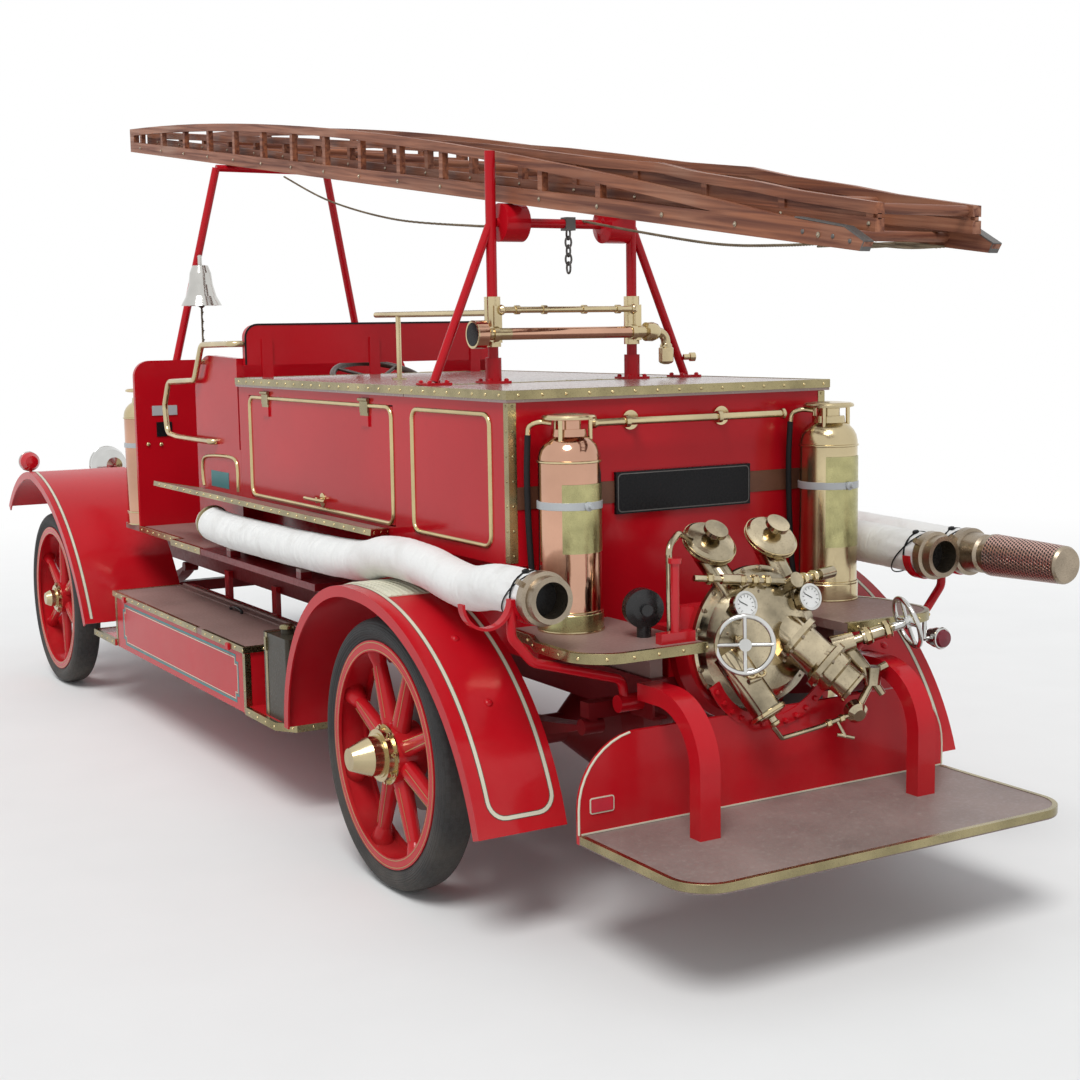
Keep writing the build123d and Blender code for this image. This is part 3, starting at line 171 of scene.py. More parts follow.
# Hand-finished surface: slow tone change, worn specks and a fine grain
def makeSurfaceGroup():
    group, given, out = newGroup(
        "handFinish",
        {"Color": middleGrey, "Worn Color": middleGrey, "Scale": 3.0, "Tone Spread": 0.1,
         "Wear": 0.1, "Roughness": 0.3, "Roughness Spread": 0.1, "Grain": 0.05}, finishOutputs)
    place = objectPlace(group)
    broad = noiseNode(group, place, given["Scale"], 4.0)
    fine = noiseNode(group, place, product(group, given["Scale"], 22.0), 5.0)
    change = product(group, rangeNode(group, broad, 0.3, 0.7, -1.0, 1.0), given["Tone Spread"])
    shade = vectorNode(group, "SCALE", given["Color"], mathNode(group, "ADD", change, 1.0))
    specks = product(group, rangeNode(group, fine, 0.56, 0.72), given["Wear"])
    drift = rangeNode(group, fine, 0.3, 0.7, -1.0, 1.0)
    drift = product(group, drift, given["Roughness Spread"])
    feed(group, out, {"Color": mixColour(group, specks, shade, given["Worn Color"]),
                      "Roughness": mathNode(group, "ADD", given["Roughness"], drift),
                      "Normal": bumpNode(group, given["Grain"], 0.002, fine)})
    return group


# Road dust that thins out with height
def makeDustGroup():
    group, given, out = newGroup(
        "roadDust", {"Color": middleGrey, "Dust Color": (0.32, 0.27, 0.21, 1), "Amount": 0.3,
                     "Height": 0.7}, {"Color": "Color"})
    place = objectPlace(group)
    low = rangeNode(group, splitNode(group, place)[2], 0.0, given["Height"], 1.0, 0.0)
    spots = rangeNode(group, noiseNode(group, place, 9.0, 6.0), 0.35, 0.7, 0.2, 1.0)
    mask = product(group, low, spots, given["Amount"])
    feed(group, out, {"Color": mixColour(group, mask, given["Color"], given["Dust Color"])})
    return group


# One where the surface lies inside a box, nought elsewhere
def makeRegionGroup():
    group, given, out = newGroup(
        "insideBox", {"Centre": (0, 0, 0), "Half Size": (1, 1, 1)}, {"Mask": "Float"})
    away = vectorNode(group, "SUBTRACT", objectPlace(group), given["Centre"])
    share = vectorNode(group, "DIVIDE", vectorNode(group, "ABSOLUTE", away), given["Half Size"])
    x, y, z = splitNode(group, share)
    most = mathNode(group, "MAXIMUM", mathNode(group, "MAXIMUM", x, y), z)
    feed(group, out, {"Mask": mathNode(group, "LESS_THAN", most, 1.0)})
    return group


# Place on a turned piece: distance from its axle, angle round it and distance along it
def makeTurnedGroup():
    group, given, out = newGroup(
        "roundAxle", {"Centre": (0, 0, 0)}, dict.fromkeys(("Radius", "Angle", "Along"), "Float"))
    away = vectorNode(group, "SUBTRACT", objectPlace(group), given["Centre"])
    x, y, z = splitNode(group, away)
    flat = vectorNode(group, "MULTIPLY", away, (0, 1, 1))
    feed(group, out, {"Radius": vectorNode(group, "LENGTH", flat), "Along": x,
                      "Angle": mathNode(group, "ARCTAN2", z, y)})
    return group


# Long varnished grain along the ladder's strings, and across on its rungs
def makeWoodGroup():
    group, given, out = newGroup(
        "ladderGrain", {"Light": middleGrey, "Dark": middleGrey, "Grey": middleGrey,
                        "Fineness": 60.0, "Rung Half": 0.0}, finishOutputs)
    place = objectPlace(group)
    level = addNode(group, "VectorRotate", {"Vector": place, "Angle": math.atan(ladderSlope)},
                    rotation_type="X_AXIS").outputs[0]
    across = mathNode(group, "ABSOLUTE", splitNode(group, level)[0])
    onRung = mathNode(group, "LESS_THAN", across, given["Rung Half"])
    lengthways = vectorNode(group, "MULTIPLY", level, (1.0, 0.035, 1.0))
    crossways = vectorNode(group, "MULTIPLY", level, (0.06, 1.0, 1.0))
    stretched = addNode(group, "Mix", {0: onRung, 4: lengthways, 5: crossways},
                        data_type="VECTOR").outputs[1]
    grain = noiseNode(group, stretched, given["Fineness"], 8.0, 0.6)
    patches = noiseNode(group, place, 2.3, 4.0)
    streak = rangeNode(group, grain, 0.35, 0.66)
    body = mixColour(group, streak, given["Dark"], given["Light"])
    weathered = product(group, rangeNode(group, patches, 0.5, 0.72, 0.0, 0.55), streak)
    feed(group, out, {"Color": mixColour(group, weathered, body, given["Grey"]),
                      "Roughness": rangeNode(group, grain, 0.3, 0.7, 0.62, 0.36),
                      "Normal": bumpNode(group, 0.35, 0.002, grain)})
    return group


# Woven canvas with grey-brown noise patches, part soil and part painted shade
def makeWeaveGroup():
    group, given, out = newGroup(
        "wovenCloth", {"Color": middleGrey, "Soil And Shade Color": middleGrey, "Soil And Shade": 0.4,
                       "Threads": 260.0}, {"Color": "Color", "Normal": "Vector"})
    place = objectPlace(group)
    feeds = {"Vector": place, "Scale": given["Threads"], "Distortion": 0.4}
    warp, weft = (addNode(group, "TexWave", feeds, bands_direction=way).outputs[1]
                  for way in ("Y", "Z"))
    threads = product(group, warp, weft)
    # Noise patches, part soil and part painted shade
    soilAndShade = rangeNode(group, noiseNode(group, place, 7.0, 7.0, 1.2), 0.5, 0.8)
    mask = product(group, soilAndShade, given["Soil And Shade"])
    shaded = vectorNode(group, "SCALE", given["Color"],
                        rangeNode(group, threads, 0.0, 1.0, 0.9, 1.0))
    feed(group, out, {"Color": mixColour(group, mask, shaded, given["Soil And Shade Color"]),
                      "Normal": bumpNode(group, 0.3, 0.001, threads)})
    return group


shared = {
    "surface": makeSurfaceGroup(),
    "dust": makeDustGroup(),
    "region": makeRegionGroup(),
    "turned": makeTurnedGroup(),
    "wood": makeWoodGroup(),
    "weave": makeWeaveGroup(),
}

# Finishes: colour, worn colour, scale, tone spread, wear, roughness, its spread, grain,
# metallic, shine
finishes = {
    "redPaint": ((0.47, 0.005, 0.012), (0.3, 0.006, 0.01),
        2.2, 0.08, 0.1, 0.17, 0.05, 0.015, 0.0, 0.22),
    # the underframe's red, darkened to paint the shade under the body
    "shadedRed": ((0.16, 0.005, 0.008), (0.07, 0.01, 0.01),
        3.0, 0.15, 0.3, 0.36, 0.08, 0.03, 0.0, 0.16),
    "brass": ((0.58, 0.47, 0.25), (0.36, 0.28, 0.14), 5.0, 0.16, 0.14, 0.2, 0.03, 0.003, 1.0, 0.5),
    "edgeBrass": ((0.33, 0.28, 0.15), (0.15, 0.12, 0.08),
        9.0, 0.26, 0.35, 0.28, 0.06, 0.01, 1.0, 0.5),
    "hubBrass": ((0.58, 0.48, 0.29), (0.42, 0.34, 0.2),
        6.0, 0.16, 0.12, 0.22, 0.03, 0.003, 1.0, 0.5),
    # bronze: its wide tone spread and dark worn colour give dark patches, part patina, part painted
    # dark reflection
    "bronze": ((0.43, 0.365, 0.25), (0.16, 0.12, 0.075),
        8.0, 0.55, 0.3, 0.17, 0.05, 0.004, 1.0, 0.5),
    "copper": ((0.57, 0.33, 0.23), (0.42, 0.22, 0.14),
        4.0, 0.16, 0.08, 0.12, 0.03, 0.003, 1.0, 0.5),
    "oldBrass": ((0.34, 0.28, 0.21), (0.16, 0.13, 0.09), 14.0, 0.2, 0.5, 0.33, 0.1, 0.05, 1.0, 0.5),
    "labelBrass": ((0.44, 0.41, 0.2), (0.16, 0.14, 0.07),
        22.0, 0.18, 0.55, 0.3, 0.08, 0.05, 1.0, 0.5),
    "plated": ((0.6, 0.6, 0.58), (0.38, 0.38, 0.37), 6.0, 0.1, 0.1, 0.16, 0.03, 0.003, 1.0, 0.5),
    "bellMetal": ((0.56, 0.55, 0.52), (0.34, 0.32, 0.28),
        6.0, 0.12, 0.1, 0.14, 0.03, 0.003, 1.0, 0.5),
    "iron": ((0.13, 0.125, 0.12), (0.2, 0.13, 0.09), 12.0, 0.2, 0.4, 0.5, 0.12, 0.12, 0.6, 0.4),
    "blackPaint": ((0.01, 0.01, 0.011), (0.04, 0.035, 0.03),
        5.0, 0.15, 0.15, 0.28, 0.08, 0.02, 0.0, 0.14),
    "castIron": ((0.1, 0.1, 0.1), (0.16, 0.12, 0.09), 10.0, 0.2, 0.4, 0.62, 0.1, 0.25, 0.5, 0.4),
    "lino": ((0.25, 0.155, 0.138), (0.38, 0.29, 0.26), 4.0, 0.16, 0.35, 0.46, 0.1, 0.06, 0.0, 0.35),
    "deckLino": ((0.24, 0.155, 0.135), (0.34, 0.26, 0.23),
        3.0, 0.14, 0.2, 0.22, 0.08, 0.03, 0.0, 0.85),
    "platformLino": ((0.23, 0.175, 0.16), (0.36, 0.3, 0.27),
        4.0, 0.18, 0.4, 0.44, 0.1, 0.06, 0.0, 0.4),
    "olive": ((0.036, 0.031, 0.021), (0.11, 0.09, 0.05), 6.0, 0.2, 0.3, 0.34, 0.08, 0.03, 0.2, 0.3),
    "leather": ((0.02, 0.018, 0.018), (0.05, 0.045, 0.04), 9.0, 0.2, 0.3, 0.42, 0.1, 0.2, 0.0, 0.4),
    "rubber": ((0.013, 0.013, 0.014), (0.034, 0.032, 0.029),
        12.0, 0.2, 0.2, 0.72, 0.1, 0.15, 0.0, 0.25),
    "cream": ((0.62, 0.6, 0.47), (0.5, 0.44, 0.3), 9.0, 0.08, 0.2, 0.34, 0.06, 0.02, 0.0, 0.3),
    "goldLine": ((0.42, 0.27, 0.1), (0.3, 0.18, 0.07), 9.0, 0.08, 0.2, 0.38, 0.06, 0.02, 0.2, 0.4),
    # dark strip that paints a shade edge along the wing lines
    "lineShade": ((0.07, 0.06, 0.045), (0.03, 0.03, 0.025),
        9.0, 0.1, 0.2, 0.36, 0.06, 0.02, 0.0, 0.3),
    "tealLine": ((0.02, 0.19, 0.2), (0.02, 0.11, 0.12), 9.0, 0.08, 0.2, 0.34, 0.06, 0.02, 0.0, 0.3),
    "whiteEnamel": ((0.74, 0.74, 0.72), (0.58, 0.56, 0.52),
        9.0, 0.04, 0.1, 0.25, 0.05, 0.01, 0.0, 0.5),
    "greyEnamel": ((0.42, 0.44, 0.45), (0.3, 0.3, 0.3),
        9.0, 0.06, 0.15, 0.32, 0.05, 0.01, 0.0, 0.4),
    "darkWood": ((0.045, 0.022, 0.014), (0.09, 0.05, 0.03),
        9.0, 0.2, 0.3, 0.32, 0.08, 0.05, 0.0, 0.5),
    "strapLeather": ((0.13, 0.05, 0.026), (0.24, 0.12, 0.07),
        12.0, 0.2, 0.4, 0.5, 0.1, 0.1, 0.0, 0.4),
    "rope": ((0.2, 0.155, 0.1), (0.34, 0.28, 0.2), 30.0, 0.25, 0.5, 0.85, 0.05, 0.4, 0.0, 0.3),
    "reflector": ((0.52, 0.01, 0.03), (0.34, 0.01, 0.02),
        20.0, 0.1, 0.15, 0.12, 0.04, 0.02, 0.0, 0.7),
    "redGlass": ((0.16, 0.004, 0.016), (0.1, 0.002, 0.01),
        20.0, 0.15, 0.2, 0.12, 0.04, 0.02, 0.0, 0.6),
}
surfaceInputs = ("Color", "Worn Color", "Scale", "Tone Spread", "Wear", "Roughness",
                 "Roughness Spread", "Grain")
metallicPlace, shinePlace = 8, 9
dustAmount = 0.12


def placeGroup(tree, name, feeds):
    return addNode(tree, "Group", feeds, node_tree=shared[name]).outputs


def placeSurface(tree, finish):
    colour, worn, *rest = finishes[finish][:metallicPlace]
    return placeGroup(tree, "surface",
                      dict(zip(surfaceInputs, ((*colour, 1), (*worn, 1), *rest))))


def newMaterial(name):
    material = bpy.data.materials.new(name)
    material.use_nodes = True
    return material, material.node_tree, material.node_tree.nodes["Principled BSDF"].inputs


# A finish all over, with other finishes inside given boxes and road dust low down
def makeFinish(name, finish, regions=(), dust=dustAmount):
    material, tree, inputs = newMaterial(name)
    base = placeSurface(tree, finish)
    colour, rough, metal = base["Color"], base["Roughness"], finishes[finish][metallicPlace]
    for other, low, high in regions:
        half = [abs(a - b) / 2000 for a, b in zip(low, high)]
        mask = placeGroup(tree, "region", {"Centre": (at(*low) + at(*high)) / 2,
                                           "Half Size": half})["Mask"]
        second = placeSurface(tree, other)
        colour = mixColour(tree, mask, colour, second["Color"])
        rough = mixValue(tree, mask, rough, second["Roughness"])
        if finishes[other][metallicPlace] != metal:
            metal = mixValue(tree, mask, metal, finishes[other][metallicPlace])
    if dust:
        colour = placeGroup(tree, "dust", {"Color": colour, "Amount": dust})["Color"]
    feed(tree, inputs, {"Base Color": colour, "Roughness": rough, "Normal": base["Normal"],
                        "Metallic": metal, "Specular IOR Level": finishes[finish][shinePlace]})
    return material


finishMade = {name: makeFinish(name, name, (), 0.0 if name in ("redGlass", "whiteEnamel")
                               else dustAmount) for name in finishes}
woodLook = {"Light": (0.34, 0.118, 0.052, 1), "Dark": (0.120, 0.036, 0.020, 1),
            "Grey": (0.32, 0.21, 0.15, 1), "Fineness": 60.0}
canvasLook = {"Color": (0.86, 0.86, 0.84, 1), "Soil And Shade Color": (0.40, 0.37, 0.33, 1),
              "Soil And Shade": 0.30, "Threads": 260.0}


# A material whose colour, roughness and normal come from one group, with plain values beside
def makeGrouped(name, group, look, plain):
    material, tree, inputs = newMaterial(name)
    made = placeGroup(tree, group, look)
    feed(tree, inputs, {"Base Color" if socket.name == "Color" else socket.name: socket
                        for socket in made})
    feed(tree, inputs, plain)
    finishMade[name] = material


for name, rungHalf in (("ladderWood", 0.189), ("innerWood", 0.139)):
    makeGrouped(name, "wood", {**woodLook, "Rung Half": rungHalf}, {"Specular IOR Level": 0.35})
makeGrouped("canvas", "weave", canvasLook, {"Roughness": 0.9, "Sheen Weight": 0.15})

# Wheels: red with brass hubs, and tyres with a block tread
wheelPlaces = {
    # wheel: side, distance out, axle Y, kind
    "front_left": (1, 800, -3560, "front"),
    "front_right": (-1, 800, -3560, "front"),
    "rear_left": (1, 769, 0, "rear"),
    "rear_right": (-1, 769, 0, "rear"),
}
wheelKinds = {
    "front": {"hub": 74, "spokes": 6, "root": 24, "face": 34, "step": 52, "ring": 44},
    "rear": {"hub": 92, "spokes": 8, "root": 30, "face": 40, "step": 63, "ring": 64},
}
axleHeight = 406
hubLook = {"brassFrom": 0.036, "margin": 0.004, "drumTo": -0.058, "shine": 0.25}
treadLook = {"blocks": 54.0, "rows": 210.0, "edge": -0.55, "channel": 0.22,
             "shoulder": 0.392, "rings": 900.0, "ring": 0.1, "depth": 0.006, "strength": 0.9,
             "shade": 0.75, "paintedGrooveShade": (0.006, 0.006, 0.006, 1)}


def makeWheelFinish(name, side, centre, hubRadius):
    material, tree, inputs = newMaterial("wheelPaint" + name)
    paint, metal, drum = (placeSurface(tree, key) for key in ("redPaint", "hubBrass", "iron"))
    spot = placeGroup(tree, "turned", {"Centre": centre})
    outboard = product(tree, spot["Along"], float(side))
    near = mathNode(tree, "LESS_THAN", spot["Radius"], hubRadius / 1000 + hubLook["margin"])
    brass = product(tree, near, mathNode(tree, "GREATER_THAN", outboard, hubLook["brassFrom"]))
    iron = mathNode(tree, "LESS_THAN", outboard, hubLook["drumTo"])
    colour = mixColour(tree, brass, paint["Color"], metal["Color"])
    rough = mixValue(tree, brass, paint["Roughness"], metal["Roughness"])
    dusty = placeGroup(tree, "dust", {"Color": mixColour(tree, iron, colour, drum["Color"]),
                                      "Amount": 0.12, "Height": 0.8})
    feed(tree, inputs, {"Base Color": dusty["Color"], "Metallic": brass,
                        "Roughness": mixValue(tree, iron, rough, drum["Roughness"]),
                        "Normal": paint["Normal"], "Specular IOR Level": hubLook["shine"]})
    return material


def makeTyreFinish(name, centre):
    material, tree, inputs = newMaterial("tyreRubber" + name)
    spot = placeGroup(tree, "turned", {"Centre": centre})
    surface = placeSurface(tree, "rubber")
    wave = mathNode(tree, "SINE", product(tree, spot["Angle"], treadLook["blocks"]))
    stagger = mathNode(tree, "SINE", product(tree, spot["Along"], treadLook["rows"]))
    blocks = mathNode(tree, "GREATER_THAN",
                      product(tree, wave, mathNode(tree, "SIGN", stagger)), treadLook["edge"])
    channel = mathNode(tree, "GREATER_THAN", mathNode(tree, "ABSOLUTE", stagger),
                       treadLook["channel"])
    outer = mathNode(tree, "GREATER_THAN", spot["Radius"], treadLook["shoulder"])
    tread = product(tree, blocks, channel, outer)
    rings = mathNode(tree, "SINE", product(tree, spot["Radius"], treadLook["rings"]))
    ribs = product(tree, rings, treadLook["ring"], mathNode(tree, "SUBTRACT", 1.0, outer))
    height = mathNode(tree, "ADD", tread, ribs)
    # The grooves are only bumps; their colour is darkened towards near black as painted shade
    paintedGrooveShade = product(tree, outer, mathNode(tree, "SUBTRACT", 1.0, tread), treadLook["shade"])
    colour = mixColour(tree, paintedGrooveShade, surface["Color"], treadLook["paintedGrooveShade"])
    dusty = placeGroup(tree, "dust", {"Color": colour, "Amount": 0.16, "Height": 0.75})
    feed(tree, inputs, {"Base Color": dusty["Color"], "Roughness": surface["Roughness"],
                        "Normal": bumpNode(tree, treadLook["strength"], treadLook["depth"],
                                           height, Normal=surface["Normal"])})
    return material


# Drilled strainer, its holes coloured near black as painted shade, and the brass couplings
strainerLook = {"x": -826, "middle": 948, "half": (0.08, 0.128, 0.08), "rows": 300.0,
                "around": 18.0, "hole": 0.42, "metal": (0.60, 0.38, 0.32, 1),
                "depth": 0.003, "holeShade": (0.012, 0.010, 0.010, 1)}
mouthPlace = (694, 952)


def makeCouplingFinish():
    material, tree, inputs = newMaterial("couplings")
    surface = placeSurface(tree, "oldBrass")
    away = vectorNode(tree, "SUBTRACT", objectPlace(tree), at(strainerLook["x"], *mouthPlace))
    x, y, z = splitNode(tree, away)
    row = product(tree, y, strainerLook["rows"])
    around = mathNode(tree, "ADD", product(tree, mathNode(tree, "ARCTAN2", z, x),
                                           strainerLook["around"]), product(tree, row, 0.5))
    holes = product(tree, mathNode(tree, "SINE", row), mathNode(tree, "SINE", around))
    drilled = mathNode(tree, "GREATER_THAN", mathNode(tree, "ABSOLUTE", holes),
                       strainerLook["hole"])
    centre = at(strainerLook["x"], strainerLook["middle"], mouthPlace[1])
    basket = placeGroup(tree, "region", {"Centre": centre, "Half Size": strainerLook["half"]})
    # The holes are only bumps; their near-black colour paints the shade inside them
    mask = product(tree, drilled, basket["Mask"])
    solid = mathNode(tree, "SUBTRACT", 1.0, mask)
    metal = mixColour(tree, basket["Mask"], surface["Color"], strainerLook["metal"])
    feed(tree, inputs, {"Base Color": mixColour(tree, mask, metal, strainerLook["holeShade"]),
                        "Roughness": mixValue(tree, mask, surface["Roughness"], 0.9),
                        "Metallic": solid,
                        "Normal": bumpNode(tree, 0.6, strainerLook["depth"], solid,
                                           Normal=surface["Normal"])})
    return material


def dress(node, material):
    for slot in nodes[node].material_slots:
        slot.material = material


plainNodes = {
    # finish: the nodes that wear it all over
    "redPaint": ("cab_body", "hose_body", "bonnet_sides", "backboard", "step_boxes",
                 "front_wings", "rear_wings", "rear_brackets", "gallows", "bonnet_left",
                 "bonnet_right", "ladder_roller"),
    # Frame, springs and axles wear red with painted shade from the body above
    "shadedRed": ("frame", "springs", "axles"),
    "castIron": ("engine",),
    "lino": ("footboards", "rear_shelves", "step_lid_left", "step_lid_right"),
    "deckLino": ("deck",),
    "olive": ("fuel_cans",),
    "ladderWood": ("ladder_main",),
    "innerWood": ("ladder_extension",),
    "bellMetal": ("bell",),
    "hubBrass": ("grab_rails",),
    "brass": ("steering_column",),
    "darkWood": ("steering_wheel",),
    "blackPaint": ("number_plate", "knuckle_left", "knuckle_right"),
}
mixedNodes = {
    # node: base finish, then other finishes inside boxes (low corner, high corner)
    # The ledge strip under the hose is red darkened as painted shade
    "floor_boards": ("lino", [("shadedRed", (-720, -1900, 780), (-560, -740, 830)),
                              ("shadedRed", (560, -1900, 780), (720, -740, 830))]),
    "branch_pipes": ("hubBrass", [("copper", (-226, -280, 1560), (226, -190, 1668)),
                                  ("copper", (302, -300, 1560), (356, -180, 1690))]),
    "rear_step": ("redPaint", [("platformLino", (-700, 801, 300), (700, 1310, 340))]),
    "radiator": ("brass", [("blackPaint", (-238, -3963, 742), (238, -3930, 1128))]),
    "pump": ("bronze", [("redPaint", (250, 760, 800), (380, 800, 1040)),
                        ("plated", (85, 862, 715), (255, 945, 890)),
                        ("plated", (-430, 835, 730), (-345, 995, 890))]),
    "lamps": ("plated", [("blackPaint", (270, 610, 800), (400, 720, 960)),
                         ("redGlass", (-640, 828, 690), (-570, 850, 760)),
                         ("redPaint", (300, -4090, 580), (420, -4040, 920)),
                         ("redPaint", (-910, -3934, 960), (-790, -3820, 1110)),
                         ("redPaint", (790, -3934, 960), (910, -3820, 1110))]),
    "extinguishers": ("copper", [("hubBrass", (-600, 300, 800), (-300, 560, 1420)),
                                 ("labelBrass", (300, 300, 800), (560, 560, 859))]),
    "locker_door_left": ("redPaint", [("edgeBrass", (566, -1700, 1370), (590, -300, 1430))]),
    "locker_door_right": ("redPaint", [("edgeBrass", (-590, -1700, 1370), (-566, -300, 1430))]),
}
for finish, nodeNames in plainNodes.items():
    for nodeName in nodeNames:
        dress(nodeName, finishMade[finish])
for nodeName, (finish, regions) in mixedNodes.items():
    dress(nodeName, makeFinish(nodeName + "Finish", finish, regions))
for wheelName, (side, outX, axleY, kind) in wheelPlaces.items():
    ending, centre = str(side) + str(axleY), at(side * outX, axleY, axleHeight)
    dress("wheel_" + wheelName, makeWheelFinish(ending, side, centre, wheelKinds[kind]["hub"]))
    dress("tyre_" + wheelName, makeTyreFinish(ending, centre))
dress("hose_couplings", makeCouplingFinish())
print("materials made")


# Shapes: each function gives points and faces; sections and outlines are in millimetres
def turns(count, offset=0.0):
    return [2 * math.pi * (step + offset) / count for step in range(count)]


def ringPath(centre, first, second, count, offset=0.0):
    return [centre + first * math.cos(turn) + second * math.sin(turn)
            for turn in turns(count, offset)]


def arcPoints(first, second, radius, degrees):
    return [(first + radius * math.cos(math.radians(turn)),
             second + radius * math.sin(math.radians(turn))) for turn in degrees]


def tube(rings, closed=False):
    size, count = len(rings[0]), len(rings)
    faces = []
    for ring in range(count if closed else count - 1):
        here, after = ring * size, (ring + 1) % count * size
        faces += [(here + step, here + (step + 1) % size, after + (step + 1) % size,
                   after + step) for step in range(size)]
    if not closed:
        faces += [tuple(range(size))[::-1], tuple(range((count - 1) * size, count * size))]
    return [point for ring in rings for point in ring], faces


samePlace, sharpestTurn = 1e-6, 0.35


def frameAlong(path, ups, closed):
    count = len(path)
    for place, here in enumerate(path):
        into = here - path[place - 1] if place or closed else path[1] - here
        out = path[(place + 1) % count] - here if place < count - 1 or closed else into
        into, out = into.normalized(), out.normalized()
        run = (into + out).normalized()
        side = run.cross(ups[place]).normalized()
        spread = 1 / max(sharpestTurn, side.dot(into.cross(ups[place]).normalized()))
        yield here, side * spread / 1000, side.cross(run).normalized() / 1000


# A section of (across, up) points carried along a path, with one up vector or one for each point
def sweep(path, section, up=upward, closed=False):
    kept = [place for place, here in enumerate(path)
            if not place or (here - path[place - 1]).length > samePlace]
    ups = [up[place] if isinstance(up, list) else Vector(up) for place in kept]
    return tube([[here + side * across + lift * high for across, high in section]
                 for here, side, lift in frameAlong([path[place] for place in kept], ups, closed)],
                closed)


# A turned form from (radius, distance along the axis) pairs
def lathe(origin, axis, outline, segments=24):
    axis = Vector(axis).normalized()
    side = axis.orthogonal().normalized()
    other = axis.cross(side)
    return tube([ringPath(origin + axis * (reach / 1000), side * (radius / 1000),
                          other * (radius / 1000), segments) for radius, reach in outline])


def latheAll(places, axis, outline, segments=24):
    return [lathe(at(*place), axis, outline, segments) for place in places]


def band(inner, outer, width, ease=1):
    return (inner, 0), (outer, ease), (outer, width - ease), (inner, width)


studOutline = ((1.0, 0.0), (0.94, 0.22), (0.66, 0.46), (0.25, 0.58), (0.02, 0.6))


def stud(place, normal, radius):
    return lathe(place, normal, [(r * radius, d * radius) for r, d in studOutline], 10)


def block(low, high):
    corners = [at(x, y, z) for x in (low[0], high[0]) for y in (low[1], high[1])
               for z in (low[2], high[2])]
    return corners, [(0, 1, 3, 2), (4, 6, 7, 5), (0, 4, 5, 1), (2, 3, 7, 6), (0, 2, 6, 4),
                     (1, 5, 7, 3)]


def halfRound(radius, steps=8):
    return arcPoints(0, 0, radius, [180 * step / steps for step in range(steps + 1)])


def circle(radius, steps=12):
    return arcPoints(0, 0, radius, [360 * step / steps for step in range(steps)])


def flatStrip(width, height):
    return [(-width / 2, 0), (width / 2, 0), (width / 2, height), (-width / 2, height)]


def angleStrip(lip, drop, sheet=1.6):
    return [(-lip, 0), (-lip, sheet), (sheet * 0.4, sheet), (sheet, sheet * 0.4),
            (sheet, -drop), (0, -drop), (0, 0)]


sharpAngle = math.radians(38)


def makePiece(name, finish, parts, body="chassis", bevel=0):
    points, faces = [], []
    for partPoints, partFaces in parts:
        faces += [tuple(len(points) + corner for corner in face) for face in partFaces]
        points += partPoints
    mesh = bpy.data.meshes.new(name)
    mesh.from_pydata([tuple(point) for point in points], [], faces)
    work = bmesh.new()
    work.from_mesh(mesh)
    bmesh.ops.recalc_face_normals(work, faces=work.faces)
    if bevel:
        bmesh.ops.bevel(work, geom=work.edges, offset=bevel / 1000, segments=2,
                        affect="EDGES", clamp_overlap=True)
    work.to_mesh(mesh)
    work.free()
    mesh.shade_smooth()
    mesh.set_sharp_from_angle(angle=sharpAngle)
    mesh.materials.append(finishMade[finish])
    piece = addObject(name, mesh)
    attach(piece, body)
    return piece


# Points along a circle through three (y, z) points
def arcThrough(first, middle, last, steps):
    (ax, ay), (bx, by), (cx, cy) = first, middle, last
    turn = 2 * (ax * (by - cy) + bx * (cy - ay) + cx * (ay - by))
    a2, b2, c2 = ax * ax + ay * ay, bx * bx + by * by, cx * cx + cy * cy
    ox = (a2 * (by - cy) + b2 * (cy - ay) + c2 * (ay - by)) / turn
    oy = (a2 * (cx - bx) + b2 * (ax - cx) + c2 * (bx - ax)) / turn
    angles = [math.degrees(math.atan2(y - oy, x - ox)) for x, y in (first, middle, last)]
    for place in (1, 2):
        away = angles[place] - angles[place - 1]
        angles[place] -= 360 * math.floor((away + 180) / 360)
    sweepAngle = angles[2] - angles[0]
    return arcPoints(ox, oy, math.hypot(ax - ox, ay - oy),
                     [angles[0] + sweepAngle * step / steps for step in range(steps + 1)])


def roundedLoop(low, high, radius, steps=6):
    (lowA, lowB), (highA, highB) = [value + radius for value in low], [value - radius
                                                                      for value in high]
    loop = []
    for corner, centre in enumerate(((highA, highB), (lowA, highB), (lowA, lowB), (highA, lowB))):
        loop += arcPoints(*centre, radius, [90 * (corner + step / steps)
                                            for step in range(steps + 1)])
    return loop


# A smooth curve through the given points
def smoothRun(points, steps=8):
    run = []
    for place in range(len(points) - 1):
        p0, p1 = points[max(place - 1, 0)], points[place]
        p2, p3 = points[place + 1], points[min(place + 2, len(points) - 1)]
        for t in [step / steps for step in range(steps)]:
            run.append(0.5 * ((2 * p1) + (p2 - p0) * t + (2 * p0 - 5 * p1 + 4 * p2 - p3) * t * t
                              + (3 * p1 - p0 - 3 * p2 + p3) * t * t * t))
    return run + [points[-1]]


# Even steps along a path, each with the direction out of it
def evenPlaces(path, spacing, up=upward, closed=False):
    loop = path + [path[0]] if closed else path
    travelled, due = 0.0, spacing / 2000
    for first, second in zip(loop, loop[1:]):
        run = second - first
        while due <= travelled + run.length and run.length > 0:
            ahead = run.normalized()
            yield first + ahead * (due - travelled), ahead.cross(up).normalized()
            due += spacing / 1000
        travelled += run.length


def mirrored(points, side):
    return [Vector((point.x * side, point.y, point.z)) for point in points[::side]]


